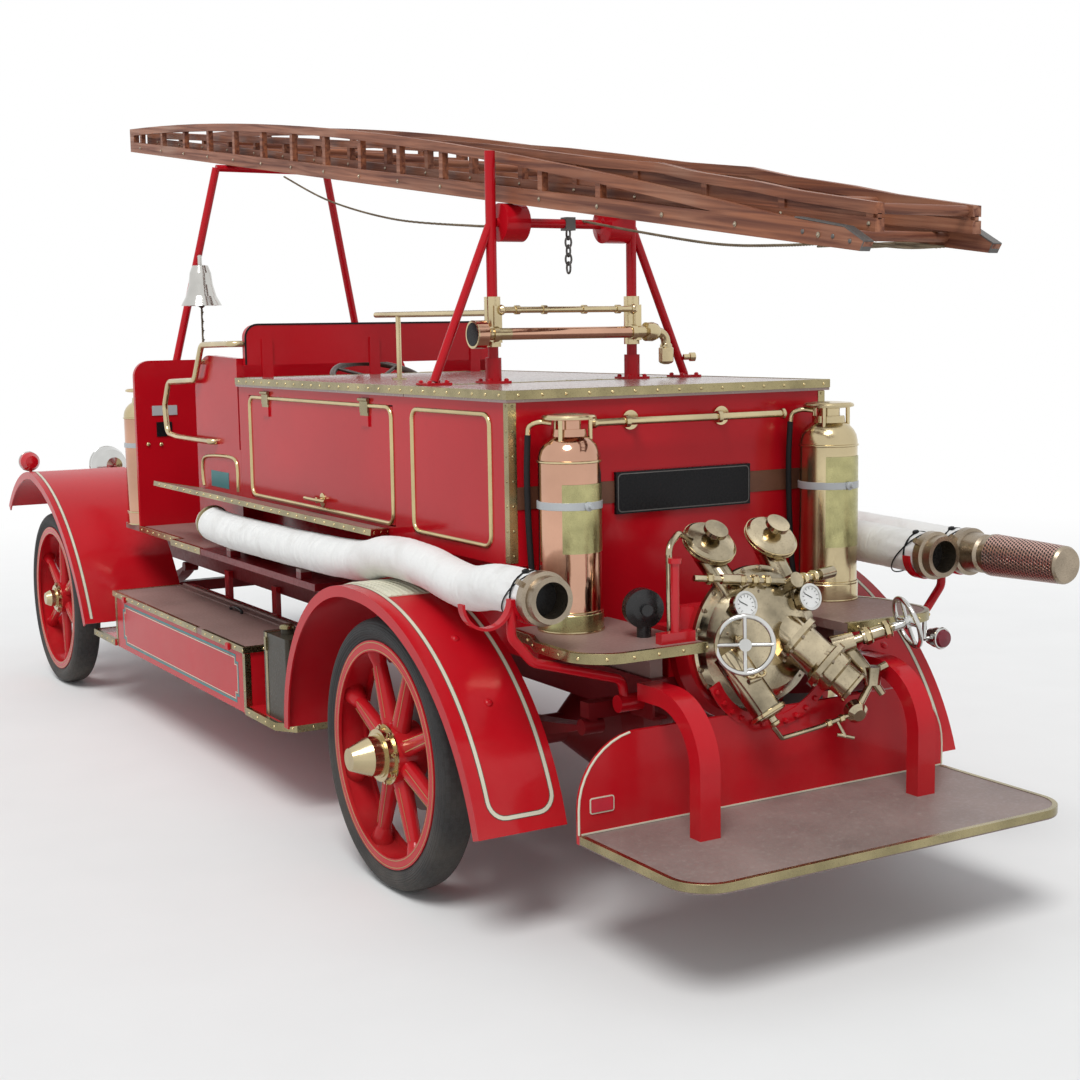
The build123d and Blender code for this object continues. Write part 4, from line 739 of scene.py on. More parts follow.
# Brass edging of every tread, with its rivets
edgeLook = {"lip": 13, "rivet": 5.2, "spacing": 78, "deckDrop": 24, "platformDrop": 20,
            "footDrop": 18}
shelfOutline = [(572, 340), (582, 470), (620, 560), (620, 700)]
shelfOutline += arcThrough((620, 700), (584, 792), (494, 826), 10)[1:] + [(243, 826)]
platformOutline = [(636, 806)] + arcPoints(526, 1195, 110, range(0, 91, 9))
footOutline = [(0, -2190), (132, -2440), (132, -300), (0, -450)]
edgings = {
    # name: body, outline of (x, y) on the left, height, drop
    "ledgeEdge": ("", [(655, -2812), (655, -2258), (695, -2258), (695, -1900)], 806, 24),
    "boardEdgeFront": ("", [(510, -3030), (816, -3030), (816, -2712)], 331, 26),
    "boardEdgeRear": ("", [(816, -1132), (816, -850), (766, -780), (508, -780)], 331, 26),
    "shelfEdge": ("", shelfOutline, 807, 26),
    "lidEdge": ("step_lid_", [(514, -2711), (816, -2711), (816, -1622)], 545, 21),
    "lidEdgeRear": ("step_lid_", [(816, -1564), (816, -1134), (514, -1134)], 545, 21),
}


def edgeTread(name, path, drop, body="chassis", up=upward, closed=False, riveted=True):
    makePiece(name, "edgeBrass", [sweep(path, angleStrip(edgeLook["lip"], drop), up, closed)],
              body)
    if riveted:
        makePiece(name + "Rivets", "brass",
                  [stud(place + outward * 0.0014 - up * (drop / 2000), outward, edgeLook["rivet"])
                   for place, outward in evenPlaces(path, edgeLook["spacing"], up, closed)], body)


for name, (body, outline, height, drop) in edgings.items():
    for sideName, side in sides:
        edgeTread(name + sideName, mirrored([at(x, y, height) for x, y in outline], side), drop,
                  body + sideName.lower() if body else "chassis")
edgeTread("deckEdge", [at(577, -1755, 1472), at(577, 352, 1472), at(-577, 352, 1472),
                       at(-577, -1755, 1472)], edgeLook["deckDrop"], closed=True)
platformPath = [at(x, y, 336) for x, y in platformOutline]
edgeTread("platformEdge", platformPath + mirrored(platformPath, -1), edgeLook["platformDrop"],
          riveted=False)
for sideName, side in sides:
    path = [at(side * (565 + 0.989 * out), y, 1014 + 0.148 * out)
            for out, y in footOutline[::side]]
    edgeTread("footEdge" + sideName, path, edgeLook["footDrop"],
              up=Vector((-side * 0.148, 0, 0.989)))
print("brass edging laid")


# Flat brass strips on the deck and brass corners on the body and the step boxes
def makeBrassStrips():
    parts = []
    for y in (-302, -280):
        path = [at(-563, y, 1472), at(563, y, 1472)]
        parts.append(sweep(path, flatStrip(16, 1.6)))
        parts += [stud(place + upward * 0.0016, upward, 3) for place, out in evenPlaces(path, 120)]
    for side in (-1, 1):
        outward = (side, 0, 0)
        parts += [block((side * 565, 316, 990), (side * 566.8, 341.8, 1438)),
                  block((side * 565, 340, 990), (side * 541, 341.8, 1438))]
        for z in range(1010, 1438, 70):
            parts += [stud(at(side * 566.8, 328, z), outward, 4),
                      stud(at(side * 553, 341.8, z), alongY, 4)]
        for y, turn in ((-2705, 1), (-1140, -1)):
            parts += [block((side * 808, y, 307), (side * 809.6, y + turn * 22, 521)),
                      block((side * 809.6, y, 307), (side * 788, y - turn * 1.6, 521))]
            parts += [stud(at(side * 809.6, y + turn * 11, z), outward, 4)
                      for z in range(325, 520, 60)]
        parts.append(sweep([at(side * 484, -2600, 545), at(side * 484, -1145, 545)],
                           flatStrip(22, 1.6)))
    makePiece("brassStrips", "edgeBrass", parts)


makeBrassStrips()

# Half-round brass beads: locker door, rear panel and the arch at the seat
beadLook = {"radius": 7.8, "corner": 34, "x": 565, "handle": 6.5}
archBead = [(-2190, 1026), (-2200, 1060), (-2200, 1105), (-2186, 1135), (-2150, 1148),
            (-2059, 1156), (-1960, 1160), (-1880, 1160), (-1826, 1154), (-1802, 1136),
            (-1796, 1100), (-1796, 1060), (-1797, 1030)]
handlePlate = ((24, 0), (24, 3), (11, 5), (9, 22), (11, 26), (4, 29))
handleGrip = [(-1080, 587), (-1040, 590), (-970, 591), (-930, 589), (-905, 586)]
for sideName, side in sides:
    out, x, door = Vector((side, 0, 0)), side * beadLook["x"], "locker_door_" + sideName.lower()
    section = halfRound(beadLook["radius"])
    doorLoop, panelLoop = (
        sweep([at(x, y, z) for y, z in roundedLoop(low, high, beadLook["corner"])], section, out,
              closed=True)
        for low, high in (((-1640, 1032), (-405, 1403)), ((-259, 1026), (234, 1403))))
    makePiece("doorBead" + sideName, "brass", [doorLoop], door)
    grip = sweep([at(side * gripX, y, 1065) for y, gripX in handleGrip],
                 circle(beadLook["handle"]))
    makePiece("doorHandle" + sideName, "brass",
              [lathe(at(x, -970, 1065), out, handlePlate, 20), grip], door)
    arch = sweep(smoothRun([at(x, y, z) for y, z in archBead], 5), section, out)
    makePiece("panelBeads" + sideName, "brass", [panelLoop, arch])
    makePiece("sideBlank" + sideName, "tealLine",
              [block((x, -2100, 1032), (side * 566.2, -1900, 1096))])
print("beads laid")

# Painted lines: wings, step boxes and the foot of the apron, with painted shade along the wing
# lines and a painted highlight on the apron's curved corners
frontWingLine = ((-4185, 800), (-4000, 935), (-3720, 998), (-3300, 850), (-2870, 385))
rearWingLine = ((-690, 353), (-545, 720), (-130, 888), (345, 740), (645, 319))
lineLook = {"wing": (10.5, 1.1), "shade": (14.5, 0.7), "inset": 45, "corner": 50,
            "frontX": 868, "rearX": (607, 803), "bolts": (1290, 1530)}
boxLook = {"boxLines": ("tealLine", 0, 9), "boxLinesInner": ("cream", 9, 3)}
reflectorLook = {"inner": 532, "outer": 600, "low": 392, "high": 428}


def wingOutline(line):
    return arcThrough(*line[:3], 40) + arcThrough(*line[2:], 40)[1:]


# Places (travel, x) mapped on a wing's outline, each with the wing's own normal
def wingLinePath(line, side, places):
    outline = wingOutline(line)
    reach = [0.0]
    for (ay, az), (by, bz) in zip(outline, outline[1:]):
        reach.append(reach[-1] + math.hypot(by - ay, bz - az))
    path, normals = [], []
    for travel, x in places:
        spot = max(place for place in range(len(outline) - 1)
                   if reach[place] <= travel or place == 0)
        share = (travel - reach[spot]) / (reach[spot + 1] - reach[spot])
        (ay, az), (by, bz) = outline[spot], outline[spot + 1]
        path.append(at(side * x, ay + (by - ay) * share, az + (bz - az) * share))
        normals.append(Vector((0, az - bz, by - ay)).normalized())
    return path, normals, reach[-1]


def wingLoop(length, inner, outer):
    places = []
    inset = lineLook["inset"]
    for x, y in roundedLoop((inset, inner), (length - inset, outer), lineLook["corner"]):
        if places:
            lastX, lastY = places[-1]
            count = max(1, int(math.hypot(x - lastX, y - lastY) / 30))
            places += [(lastX + (x - lastX) * part / count, lastY + (y - lastY) * part / count)
                       for part in range(1, count)]
        places.append((x, y))
    return places


def makeWingLines():
    frontReach, rearReach = (wingLinePath(line, 1, [(0, 700)])[2]
                             for line in (frontWingLine, rearWingLine))
    frontRun = [(frontReach * part / 80, lineLook["frontX"]) for part in range(80)]
    runs = ((frontWingLine, frontRun, False),
            (rearWingLine, wingLoop(rearReach, *lineLook["rearX"]), True))
    paths = [(*wingLinePath(line, side, places)[:2], closed)
             for line, places, closed in runs for side in (-1, 1)]
    # Under each cream line a wider dark strip paints a shade edge along it
    for name, finish, look in (("wingLines", "cream", "wing"),
                               ("wingLineShades", "lineShade", "shade")):
        makePiece(name, finish, [sweep(path, flatStrip(*lineLook[look]), normals, closed)
                                 for path, normals, closed in paths])
    bolts = [wingLinePath(rearWingLine, side, [(travel, 712)])
             for side in (-1, 1) for travel in lineLook["bolts"]]
    makePiece("wingBolts", "redPaint", [stud(path[0], normals[0], 13)
                                        for path, normals, length in bolts])


def makeBoxLines():
    for name, (finish, inset, width) in boxLook.items():
        front, rear, low, high, step = -2594 + inset, -1214 - inset, 333 + inset, 500 - inset, 24
        outline = []
        for y, z, dy, dz in ((front, low, 1, 1), (front, high, 1, -1), (rear, high, -1, -1),
                             (rear, low, -1, 1)):
            notch = [(y, z + dz * step), (y + dy * step, z + dz * step), (y + dy * step, z)]
            outline += notch if dy * dz < 0 else notch[::-1]
        makePiece(name, finish, [sweep([at(side * 808, y, z) for y, z in outline],
                                       flatStrip(width, 0.7), (side, 0, 0), closed=True)
                                 for side in (-1, 1)])


def makeApronTrim():
    edge = [(636, 338), (636, 402)] + arcPoints(446, 402, 190, range(0, 82, 9))
    # The strip at the foot is a cream line; the cream rods along the curved corners paint the
    # highlight on the apron's rounded edge
    makePiece("apronLineAndHighlight", "cream",
              [sweep([at(-630, 801, 337), at(630, 801, 337)], flatStrip(4, 4))]
              + [sweep([at(side * x, 799, z) for x, z in edge], circle(3.2, 8), alongY)
                 for side in (-1, 1)])
    inner, outer, low, high = reflectorLook.values()
    makePiece("rearReflectors", "reflector",
              [block((side * inner, 800, low), (side * outer, 805, high)) for side in (-1, 1)],
              bevel=1.5)
    loop = roundedLoop((inner - 2, low - 2), (outer + 2, high + 2), 6)
    makePiece("reflectorRims", "cream",
              [sweep([at(side * x, 800, z) for x, z in loop[::side]], flatStrip(3, 3), alongY,
                     closed=True) for side in (-1, 1)])


makeWingLines()
makeBoxLines()
makeApronTrim()
print("lines painted")

# Step box catches and lifting handles; the ribbed plate on each rear wing's crest
lidGrip = ((-1936, 546), (-1931, 556), (-1876, 561), (-1821, 556), (-1816, 546))
crestLook = {"front": -330, "rear": 30, "x": 712, "width": 170, "ribs": 9, "rib": 2.5}


def makeBoxFittings():
    for sideName, side in sides:
        lid = "step_lid_" + sideName.lower()
        grip = [at(side * 565, y, z) for y, z in lidGrip]
        makePiece("lidCatches" + sideName, "redPaint",
                  [block((side * 812, y - 16, 517), (side * 826, y + 16, 541))
                   for y in (-2536, -1279)], lid, bevel=3)
        makePiece("lidHandle" + sideName, "blackPaint",
                  [sweep(smoothRun(grip, 5), circle(6), alongX)], lid)


def makeCrestPlates():
    patch = [(y, z) for y, z in wingOutline(rearWingLine)
             if crestLook["front"] < y < crestLook["rear"]]
    parts = []
    for side in (-1, 1):
        parts.append(sweep([at(side * crestLook["x"], y, z) for y, z in patch],
                           flatStrip(crestLook["width"], 3)))
        parts += [sweep([at(side * (640 + rib * 18), y, z + 3) for y, z in patch],
                        halfRound(crestLook["rib"], 4)) for rib in range(crestLook["ribs"])]
    makePiece("crestPlates", "cream", parts)


makeBoxFittings()
makeCrestPlates()

# Wheels: gold lines on rim and spokes, hub bolts and the lock ring
wheelLook = {"line": (2.2, 0.6), "rims": (0.311, 0.332), "rimFace": 0.052, "from": 0.105,
             "to": 0.262, "tilt": math.radians(34), "bolts": 8}
boltOutline = ((8.5, 0), (8.5, 6), (6, 7), (5, 12))


def makeWheelTrim(wheelName, side, outX, axleY, kind):
    look, body = wheelKinds[kind], "wheel_" + wheelName
    centre, out = at(side * outX, axleY, axleHeight), Vector((side, 0, 0))
    line, tilt = flatStrip(*wheelLook["line"]), wheelLook["tilt"]
    face = centre + out * wheelLook["rimFace"]
    lines = [sweep(ringPath(face, alongY * radius, upward * radius, 96), line, out, closed=True)
             for radius in wheelLook["rims"]]
    for turn in turns(look["spokes"], 0.5):
        along = Vector((0, math.cos(turn), math.sin(turn)))
        across = Vector((0, -math.sin(turn), math.cos(turn)))
        for hand in (-1, 1):
            path = []
            for step in range(7):
                reach = wheelLook["from"] + (wheelLook["to"] - wheelLook["from"]) * step / 6
                radius = look["root"] * (1 - 0.28 * (reach * 1000 - 50) / 220) / 1000
                path.append(centre + along * reach + out * (radius * math.cos(tilt) + 0.0004)
                            + across * hand * radius * math.sin(tilt))
            lines.append(sweep(path, line, out))
    makePiece("wheelLines_" + wheelName, "goldLine", lines, body)
    reach, ring = (look["hub"] - 10) / 1000, look["ring"]
    bolts = [lathe(spot, out, boltOutline, 6) for spot in
             ringPath(centre + out * (look["face"] / 1000), alongY * reach, upward * reach,
                      wheelLook["bolts"], 0.25)]
    bolts.append(lathe(centre + out * ((look["step"] - 4) / 1000), out,
                       ((ring, 0), (ring + 2, 2), (ring + 2, 7), (ring - 6, 8)), 32))
    makePiece("hubBolts_" + wheelName, "hubBrass", bolts, body)


for wheelName, row in wheelPlaces.items():
    makeWheelTrim(wheelName, *row)
print("wheels trimmed")

# Canvas-covered suction hoses, gathered at the couplings and lashed with cord
foreRun = ((-1865, 925), (-1593, 906), (-910, 910), (-430, 924), (-200, 962))
leftRun = (*foreRun, (40, 960), (300, 930), (480, 952), (694, 952))
rightRun = (*foreRun, (40, 975), (300, 965), (480, 960), (694, 952))
hosePlaces = {"hoseLeft": (680, leftRun, 1.7), "hoseRight": (-680, rightRun, 5.2),
              "hoseOuter": (-826, rightRun, 8.9)}
hoseLook = {"radius": 0.0645, "wrinkle": 0.0036, "fold": 0.0024, "ring": 0.0034, "around": 44,
            "foldReach": 100, "wave": 84, "tail": 0.085, "cord": 2.1}


def makeHose(name, x, runPlaces, seed):
    rough = smoothRun([at(x, y, z) for y, z in runPlaces], 24)
    start, end = rough[0], rough[-1]
    centres, due, travelled = [], 0.0, 0.0
    for first, second in zip(rough, rough[1:]):
        length = (second - first).length
        while due <= travelled + length:
            centres.append(first.lerp(second, (due - travelled) / length))
            due += hoseLook["ring"]
        travelled += length
    spots = [(start, 0.10)]
    for here in centres + [end]:
        reach = min(1.0, (here - start).length / hoseLook["tail"])
        spots.append((here, 0.30 + 0.70 * math.sin(reach * math.pi / 2) ** 0.8))
    rings = []
    for place, (here, share) in enumerate(spots):
        before, after = spots[max(place - 1, 0)][0], spots[min(place + 1, len(spots) - 1)][0]
        run = (after - before).normalized()
        side = run.cross(upward).normalized()
        lift = side.cross(run)
        gather = math.exp(-(((here - end).length * 1000) / hoseLook["foldReach"]) ** 2)
        loose = min(1.0, max(0.0, (axleShift - 0.1 - here.y) / 0.8))
        crumple = (0.35 + 0.65 * loose) * (1 - gather)
        ring = []
        for turn in turns(hoseLook["around"]):
            cosine, sine = math.cos(turn), math.sin(turn)
            spot = Vector((seed + cosine * 0.7, here.y * hoseLook["wave"], sine * 0.7))
            crease = 0.45 - 2.0 * abs(noise.noise(spot))
            sag = noise.noise(Vector((seed + cosine * 1.3, here.y * 6.0, sine * 1.3)))
            fold = math.sin(turn * 11 + seed + here.y * 9) * gather * hoseLook["fold"]
            swell = hoseLook["wrinkle"] * (crease * crumple + 0.6 * sag - 0.35) + fold
            ring.append(here + (side * cosine + lift * sine)
                        * (hoseLook["radius"] + swell) * share)
        rings.append(ring)
    hose = makePiece(name, "canvas", [tube(rings)])
    cord = circle(hoseLook["cord"], 6)
    tied = [at(x + 66 * math.cos(turn), 649 + 2.2 * step / 28, 952 + 66 * math.sin(turn))
            for step, turn in [(step, 2 * math.pi * step / 28) for step in range(57)]]
    slant = ringPath(at(x, 625, 952), alongX * 0.0668, Vector((0, 0.065, 0.0668)), 36)
    knotAxis = Vector((0.25, 0, 0.97))
    makePiece(name + "Lashing", "blackPaint",
              [sweep(tied, cord, alongY), sweep(slant, cord, alongY, closed=True),
               lathe(at(x, 650, 952) + knotAxis * 0.064, knotAxis,
                     ((9, 0), (11, 3), (9, 8), (3, 10)), 10)])
    return hose


hoses = [makeHose(name, *row) for name, row in hosePlaces.items()]
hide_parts("suction_hoses")
# Black discs inside the two coupling mouths paint the shade in their bores
makePiece("hoseMouthShades", "blackPaint",
          latheAll([(x, 694.2, 952) for x in (680, -680)], alongY,
                   ((47.6, 0), (47.6, 1.6), (30, 1.8), (2, 1.8)), 32))
makePiece("hoseClips", "edgeBrass",
          latheAll([(x, -1782, 919) for x in (680, -680, -826)], (0, 1, -0.07),
                   band(65.5, 68, 12), 40))
print("hoses laid")

# Fire extinguishers: bands, blank embossed plates, straps, lugs and their delivery tubes
bottles = {
    # name: place, plate's low and high edge, finish of the shoulder
    "bottleLeft": ((434, 446, 807), (222, 412), "copper"),
    "bottleRight": ((-494, 446, 807), (166, 440), "hubBrass"),
    "bottleFront": ((581, -2912, 806), (222, 412), "hubBrass"),
}
bottleLook = {"bands": (52, 468), "facing": math.radians(92), "spread": 47, "plate": 89.2,
              "rows": 30, "columns": 40, "strap": 341}
shoulder = ((88.6, 470), (88, 485), (84, 503), (76, 518), (64, 531), (50, 540), (48, 556),
            (47, 560))
tubeRuns = {
    # name: finish, (x, y, z) places from the bottle's x, steps, radius, up
    "deliveryTubes": ("rubber", ((88, 372, 1350), (90, 368, 1250), (86, 364, 1130),
                                 (78, 362, 1000), (70, 364, 900), (62, 370, 830)),
                      8, 8.8, alongY),
    "deliveryElbows": ("hubBrass", ((40, 420, 1383), (66, 400, 1386), (86, 378, 1374),
                                    (88, 372, 1348)), 6, 7.5, (0.3, 1, 0)),
}


def dressBottle(name, spot, edges, finish):
    x, y, z = spot
    rows, columns, facing = bottleLook["rows"], bottleLook["columns"], bottleLook["facing"]
    parts = latheAll([(x, y, z + height) for height in bottleLook["bands"]], upward,
                     band(88.5, 91.2, 8, 2), 48)
    parts.append(lathe(at(x, y, z), upward, ((93.5, 0), (94.5, 3), (93.5, 6)), 48))
    parts.append(lathe(at(x, y, z + 587), upward, ((69, 0), (76, 1), (77, 6), (73, 11), (45, 15),
                                                   (12, 17)), 36))
    parts += [lathe(post, upward, ((6.5, 0), (6.5, 62)), 12) for post in
              ringPath(at(x, y, z + 528), alongX * 0.060, alongY * 0.060, 3, 0.3)]
    makePiece(name + "Bands", "hubBrass", parts)
    makePiece(name + "Shoulder", finish, [lathe(at(x, y, z), upward, shoulder, 48)])
    low, high = edges
    points, faces = [], []
    for row in range(rows + 1):
        for column in range(columns + 1):
            turn = facing + math.radians(bottleLook["spread"] * (2 * column / columns - 1))
            inside = row % 2 and 2 < row < rows - 2 and 3 < column < columns - 3
            rim = row in (0, 1, rows - 1, rows) or column in (0, 1, columns - 1, columns)
            lift = 1.3 * (0.6 + 0.4 * math.sin(column * 1.9 + row)) if inside else 0.8 * rim
            radius = bottleLook["plate"] + lift
            points.append(at(x + radius * math.cos(turn), y + radius * math.sin(turn),
                             z + low + (high - low) * row / rows))
    for first in [row * (columns + 1) + column for row in range(rows)
                  for column in range(columns)]:
        faces.append((first, first + 1, first + columns + 2, first + columns + 1))
    makePiece(name + "Plate", "labelBrass", [(points, faces)])
    out = Vector((math.cos(facing), math.sin(facing), 0))
    makePiece(name + "Strap", "greyEnamel",
              [lathe(at(x, y, z + bottleLook["strap"]), upward, band(89.5, 91.8, 22), 48),
               lathe(at(x, y, z + bottleLook["strap"] + 11) + out * 0.0915, out,
                     ((13, 0), (13, 6), (6, 9), (6, 20)), 12)])


for name, row in bottles.items():
    dressBottle(name, *row)
for name, (finish, places, steps, radius, up) in tubeRuns.items():
    makePiece(name, finish, [sweep(smoothRun([at(x + dx, y, z) for dx, y, z in places], steps),
                                   circle(radius), up) for x in (434, -494)])
print("extinguishers dressed")

# Pump: flange studs, union nuts, bolted ring, gauge bezels and dials
gaugePlaces = {"gaugeLeft": (112, 796, 888), "gaugeRight": (-112, 796, 888)}
gaugeAxis = Vector((0, 0.96, 0.28)).normalized()
outletAxis = Vector((-0.49, 0.62, -0.61))
plugAxis = Vector((-0.3, 0.5, -0.81)).normalized()
capAxis = Vector((0, 0.62, 0.785)).normalized()
studRings = (
    # centre, axis, ring radius, count, stud size
    (at(0, 714, 775), alongY, 198.5, 22, 7.5),
    (at(0, 778, 775), alongY, 150, 12, 6),
    (at(-77, 800, 775) + outletAxis * 0.010, outletAxis, 66, 8, 6),
    (at(-77, 800, 775) + outletAxis * 0.116, outletAxis, 66, 8, 5),
)
unionPlaces = (
    # start and end of a pipe, places along it for its unions, union radius
    ((230, 748, 969), (-76, 801, 938), (0.14, 0.46, 0.58, 0.70), 16),
    ((-70, 795, 938), (-252, 744, 944), (0.25, 0.50), 18),
    ((-110, 780, 716), (-386, 915, 809), (0.62, 0.80), 26),
    ((96, 770, 790), (171, 894, 803), (0.45, 0.70), 19),
    ((-120, 860, 536), (-238, 860, 556), (0.20, 0.60), 12),
)
bezelOutline = ((36, 0), (38.5, 2), (37.5, 7), (31, 8), (30, 4))
collarLook = {"arc": (-155, -24), "radius": 222, "bolts": 226, "strip": (36, 6)}


def ringOfStuds(centre, axis, ring, count, size):
    axis = Vector(axis).normalized()
    side = axis.orthogonal().normalized()
    outline = ((size, 0), (size, size * 0.8), (size * 0.7, size), (size * 0.6, size * 1.5))
    return [lathe(spot, axis, outline, 6) for spot in
            ringPath(centre, side * (ring / 1000), axis.cross(side) * (ring / 1000), count)]


def makeUnions():
    parts = []
    for start, end, places, radius in unionPlaces:
        first, last = at(*start), at(*end)
        axis = (last - first).normalized()
        for spot in [first.lerp(last, share) - axis * 0.007 for share in places]:
            parts += [lathe(spot, axis, band(radius - 3, radius, 14), 6),
                      lathe(spot + axis * 0.015, axis, ((radius - 3, 0), (radius - 1, 2),
                                                        (radius - 3, 4)), 20)]
    parts += [sweep(ringPath(at(130 + hand * 16, 892, 720), alongX * 0.013, upward * 0.009, 18),
                    circle(4, 8), alongY, closed=True) for hand in (-1, 1)]
    parts.append(lathe(at(93, 889, 614) + plugAxis * 0.001, plugAxis, band(48, 52, 12, 2), 40))
    parts.append(lathe(at(93, 889, 614) + plugAxis * 0.035, plugAxis,
                       ((12, 0), (15, 3), (13, 10), (4, 14)), 20))
    parts += [lathe(at(side * 108, 640, 1030) + capAxis * reach, capAxis, band(76, 78.5, 5), 48)
              for side in (-1, 1) for reach in (0.009, 0.020)]
    makePiece("pumpUnions", "hubBrass", parts)


def makeGauge(name, spot):
    face = at(*spot) + gaugeAxis * 0.022
    makePiece(name + "Bezel", "plated", [lathe(face, gaugeAxis, bezelOutline, 40)])
    makePiece(name + "Dial", "whiteEnamel",
              [lathe(face, gaugeAxis, ((30.5, 0), (30.5, 4.2), (1, 4.3)), 40)])
    side = gaugeAxis.cross(upward).normalized()
    lift = side.cross(gaugeAxis)

    def pointer(degrees, start, end, height, section):
        turn = math.radians(degrees)
        out = side * -math.cos(turn) + lift * math.sin(turn)
        base = face + gaugeAxis * height
        return sweep([base + out * start, base + out * end], section, gaugeAxis)

    marks = [pointer(225 - 27 * mark, 0.021, 0.027, 0.0046, flatStrip(1.4, 0.4))
             for mark in range(11)]
    marks.append(pointer(150, -0.006, 0.022, 0.0050, flatStrip(2.2, 0.5)))
    makePiece(name + "Marks", "blackPaint", marks)


makePiece("pumpStuds", "oldBrass", [part for row in studRings for part in ringOfStuds(*row)])
makeUnions()
collarArc = [at(x, 797, z) for x, z in
             arcPoints(0, 775, collarLook["radius"], range(*collarLook["arc"], 5))]
collarBolts = [(x, 803, z) for x, z in
               arcPoints(0, 775, collarLook["bolts"], range(-150, -29, 10))]
makePiece("pumpCollar", "redPaint", [sweep(collarArc, flatStrip(*collarLook["strip"]), alongY)]
          + latheAll(collarBolts, alongY, ((8, 0), (8, 6), (5, 9)), 6))
for name, spot in gaugePlaces.items():
    makeGauge(name, spot)
print("pump trimmed")

# Number plate: blank, with a pressed border, on a leather band across the rear wall
makePiece("plateBorder", "iron",
          [sweep([at(x, 352, z) for x, z in roundedLoop((-262, 1112), (211, 1222), 14)],
                 flatStrip(3, 1.2), alongY, closed=True)])
makePiece("plateBand", "strapLeather", [block((-541, 340, 1139), (-268, 343, 1203)),
                                        block((217, 340, 1139), (541, 343, 1203))], bevel=1)


# Height of the main section's lower face
def ladderZ(y):
    return 2037 - ladderSlope * (y + 279)


# The inner ladder's open bow trusses: a lower rail, a bowed upper rail, posts, and a thin web
# towards the tail
innerTops = [(-3980, 100), (-2046, 142), (-1506, 149), (-895, 176), (-502, 176), (-153, 169),
             (188, 160), (493, 161), (679, 145), (935, 134), (1093, 122), (1380, 112)]
innerLook = {"x": 155, "width": 28, "low": 44, "rail": 32, "upper": 27, "post": 24,
             "webFrom": -150, "web": 12, "rung": 13}
rungSpacing = 323.5
innerPosts = [-3818 + rungSpacing * rung for rung in range(17)]


def innerTop(y):
    for (ay, ah), (by, bh) in zip(innerTops, innerTops[1:]):
        if y <= by:
            return ah + (bh - ah) * (y - ay) / (by - ay)
    return innerTops[-1][1]


# A flat board: an outline of (y, height over the ladder's foot line) at an x, as wide as given
def plank(x, width, outline):
    points = [at(x + side * width / 2, y, ladderZ(y) + high) for side in (-1, 1)
              for y, high in outline]
    count = len(outline)
    faces = [tuple(range(count)), tuple(range(2 * count - 1, count - 1, -1))]
    faces += [(place, place + count, (place + 1) % count + count, (place + 1) % count)
              for place in range(count)]
    return points, faces


def makeInnerLadder():
    low, width, upper, webFrom = (innerLook[key] for key in ("low", "width", "upper", "webFrom"))
    front, rear, half = innerTops[0][0], innerTops[-1][0], innerLook["post"] / 2
    top = low + innerLook["rail"]
    parts = []
    for x in (-innerLook["x"], innerLook["x"]):
        parts.append(plank(x, width, [(front, low), (rear, low), (rear, top), (front, top)]))
        parts += [plank(x, width, [(ay, ah - upper), (by, bh - upper), (by, bh), (ay, ah)])
                  for (ay, ah), (by, bh) in zip(innerTops, innerTops[1:])]
        parts += [plank(x, width - 4, [(y - half, top - 2), (y + half, top - 2),
                                       (y + half, innerTop(y) - upper + 2),
                                       (y - half, innerTop(y) - upper + 2)]) for y in innerPosts]
        web = [(y, high - upper + 2) for y, high in innerTops[::-1] if y > webFrom]
        parts.append(plank(x, innerLook["web"], [(webFrom, top - 2), (rear, top - 2), *web,
                                                 (webFrom, innerTop(webFrom) - upper + 2)]))
    parts += [sweep([at(x, y, ladderZ(y) + 97) for x in (-151, 151)],
                    circle(innerLook["rung"], 16)) for y in innerPosts]
    inner = makePiece("innerLadder", "innerWood", parts, "ladder_extension")
    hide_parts("ladder_extension")


# Bolts along the strings, and iron shoes on the feet
shoeRuns = (((1150, 59), (1330, 50.5), (1399, 22.5)), ((1399, 22), (1386, 0)))


def makeLadderTrim():
    bolts, shoes, extras = [], [], []
    for side in (-1, 1):
        out = (side, 0, 0)
        boltPlaces = [-4100 + rungSpacing * (rung + 0.5) for rung in range(17)]
        bolts += latheAll([(side * 219, y, ladderZ(y) + 25) for y in boltPlaces], out,
                          ((7, 0), (7, 1.6), (4, 3), (3, 5)), 12)
        shoes += [sweep([at(side * 205, y, ladderZ(y) + high) for y, high in run],
                        flatStrip(29, 3)) for run in shoeRuns]
        shoes += [stud(at(side * 219, y, ladderZ(y) + high), out, 6)
                  for y, high in ((1180, 28), (1290, 26), (1350, 20))]
        extras += latheAll([(side * 169, y, ladderZ(y) + 61) for y in innerPosts], out,
                           ((6, 0), (6, 1.6), (3, 4)), 10)
    makePiece("ladderBolts", "oldBrass", bolts)
    makePiece("ladderShoes", "iron", shoes)
    makePiece("extensionBolts", "oldBrass", extras, "ladder_extension")


# Twisted rope: strands round a path, with the lay in metres
ropeUp = Vector((0.1, 0.2, 0.97))
ropeSpans = (((-57, -2750, 2335), (-75, -2300, 2197), (12, -1500, 2068), (234, -450, 1975),
              (266, -279, 1967)),
             ((-71, -279, 1986), (-74, 50, 1932), (-68, 450, 1875), (-60, 750, 1856),
              (-68, 1000, 1852), (-77, 1180, 1851)))


def ropeStrands(path, radius, strands=3, lay=0.03):
    spots = [0.0]
    for first, second in zip(path, path[1:]):
        spots.append(spots[-1] + (second - first).length)
    parts = []
    for strand in range(strands):
        twisted = []
        for place, here in enumerate(path):
            run = path[min(place + 1, len(path) - 1)] - path[max(place - 1, 0)]
            side = run.normalized().cross(ropeUp).normalized()
            lift = side.cross(run.normalized())
            turn = 2 * math.pi * (spots[place] / lay + strand / strands)
            twisted.append(here + (side * math.cos(turn) + lift * math.sin(turn)) * radius / 2000)
        parts.append(sweep(twisted, circle(radius * 0.56, 6), ropeUp))
    return parts


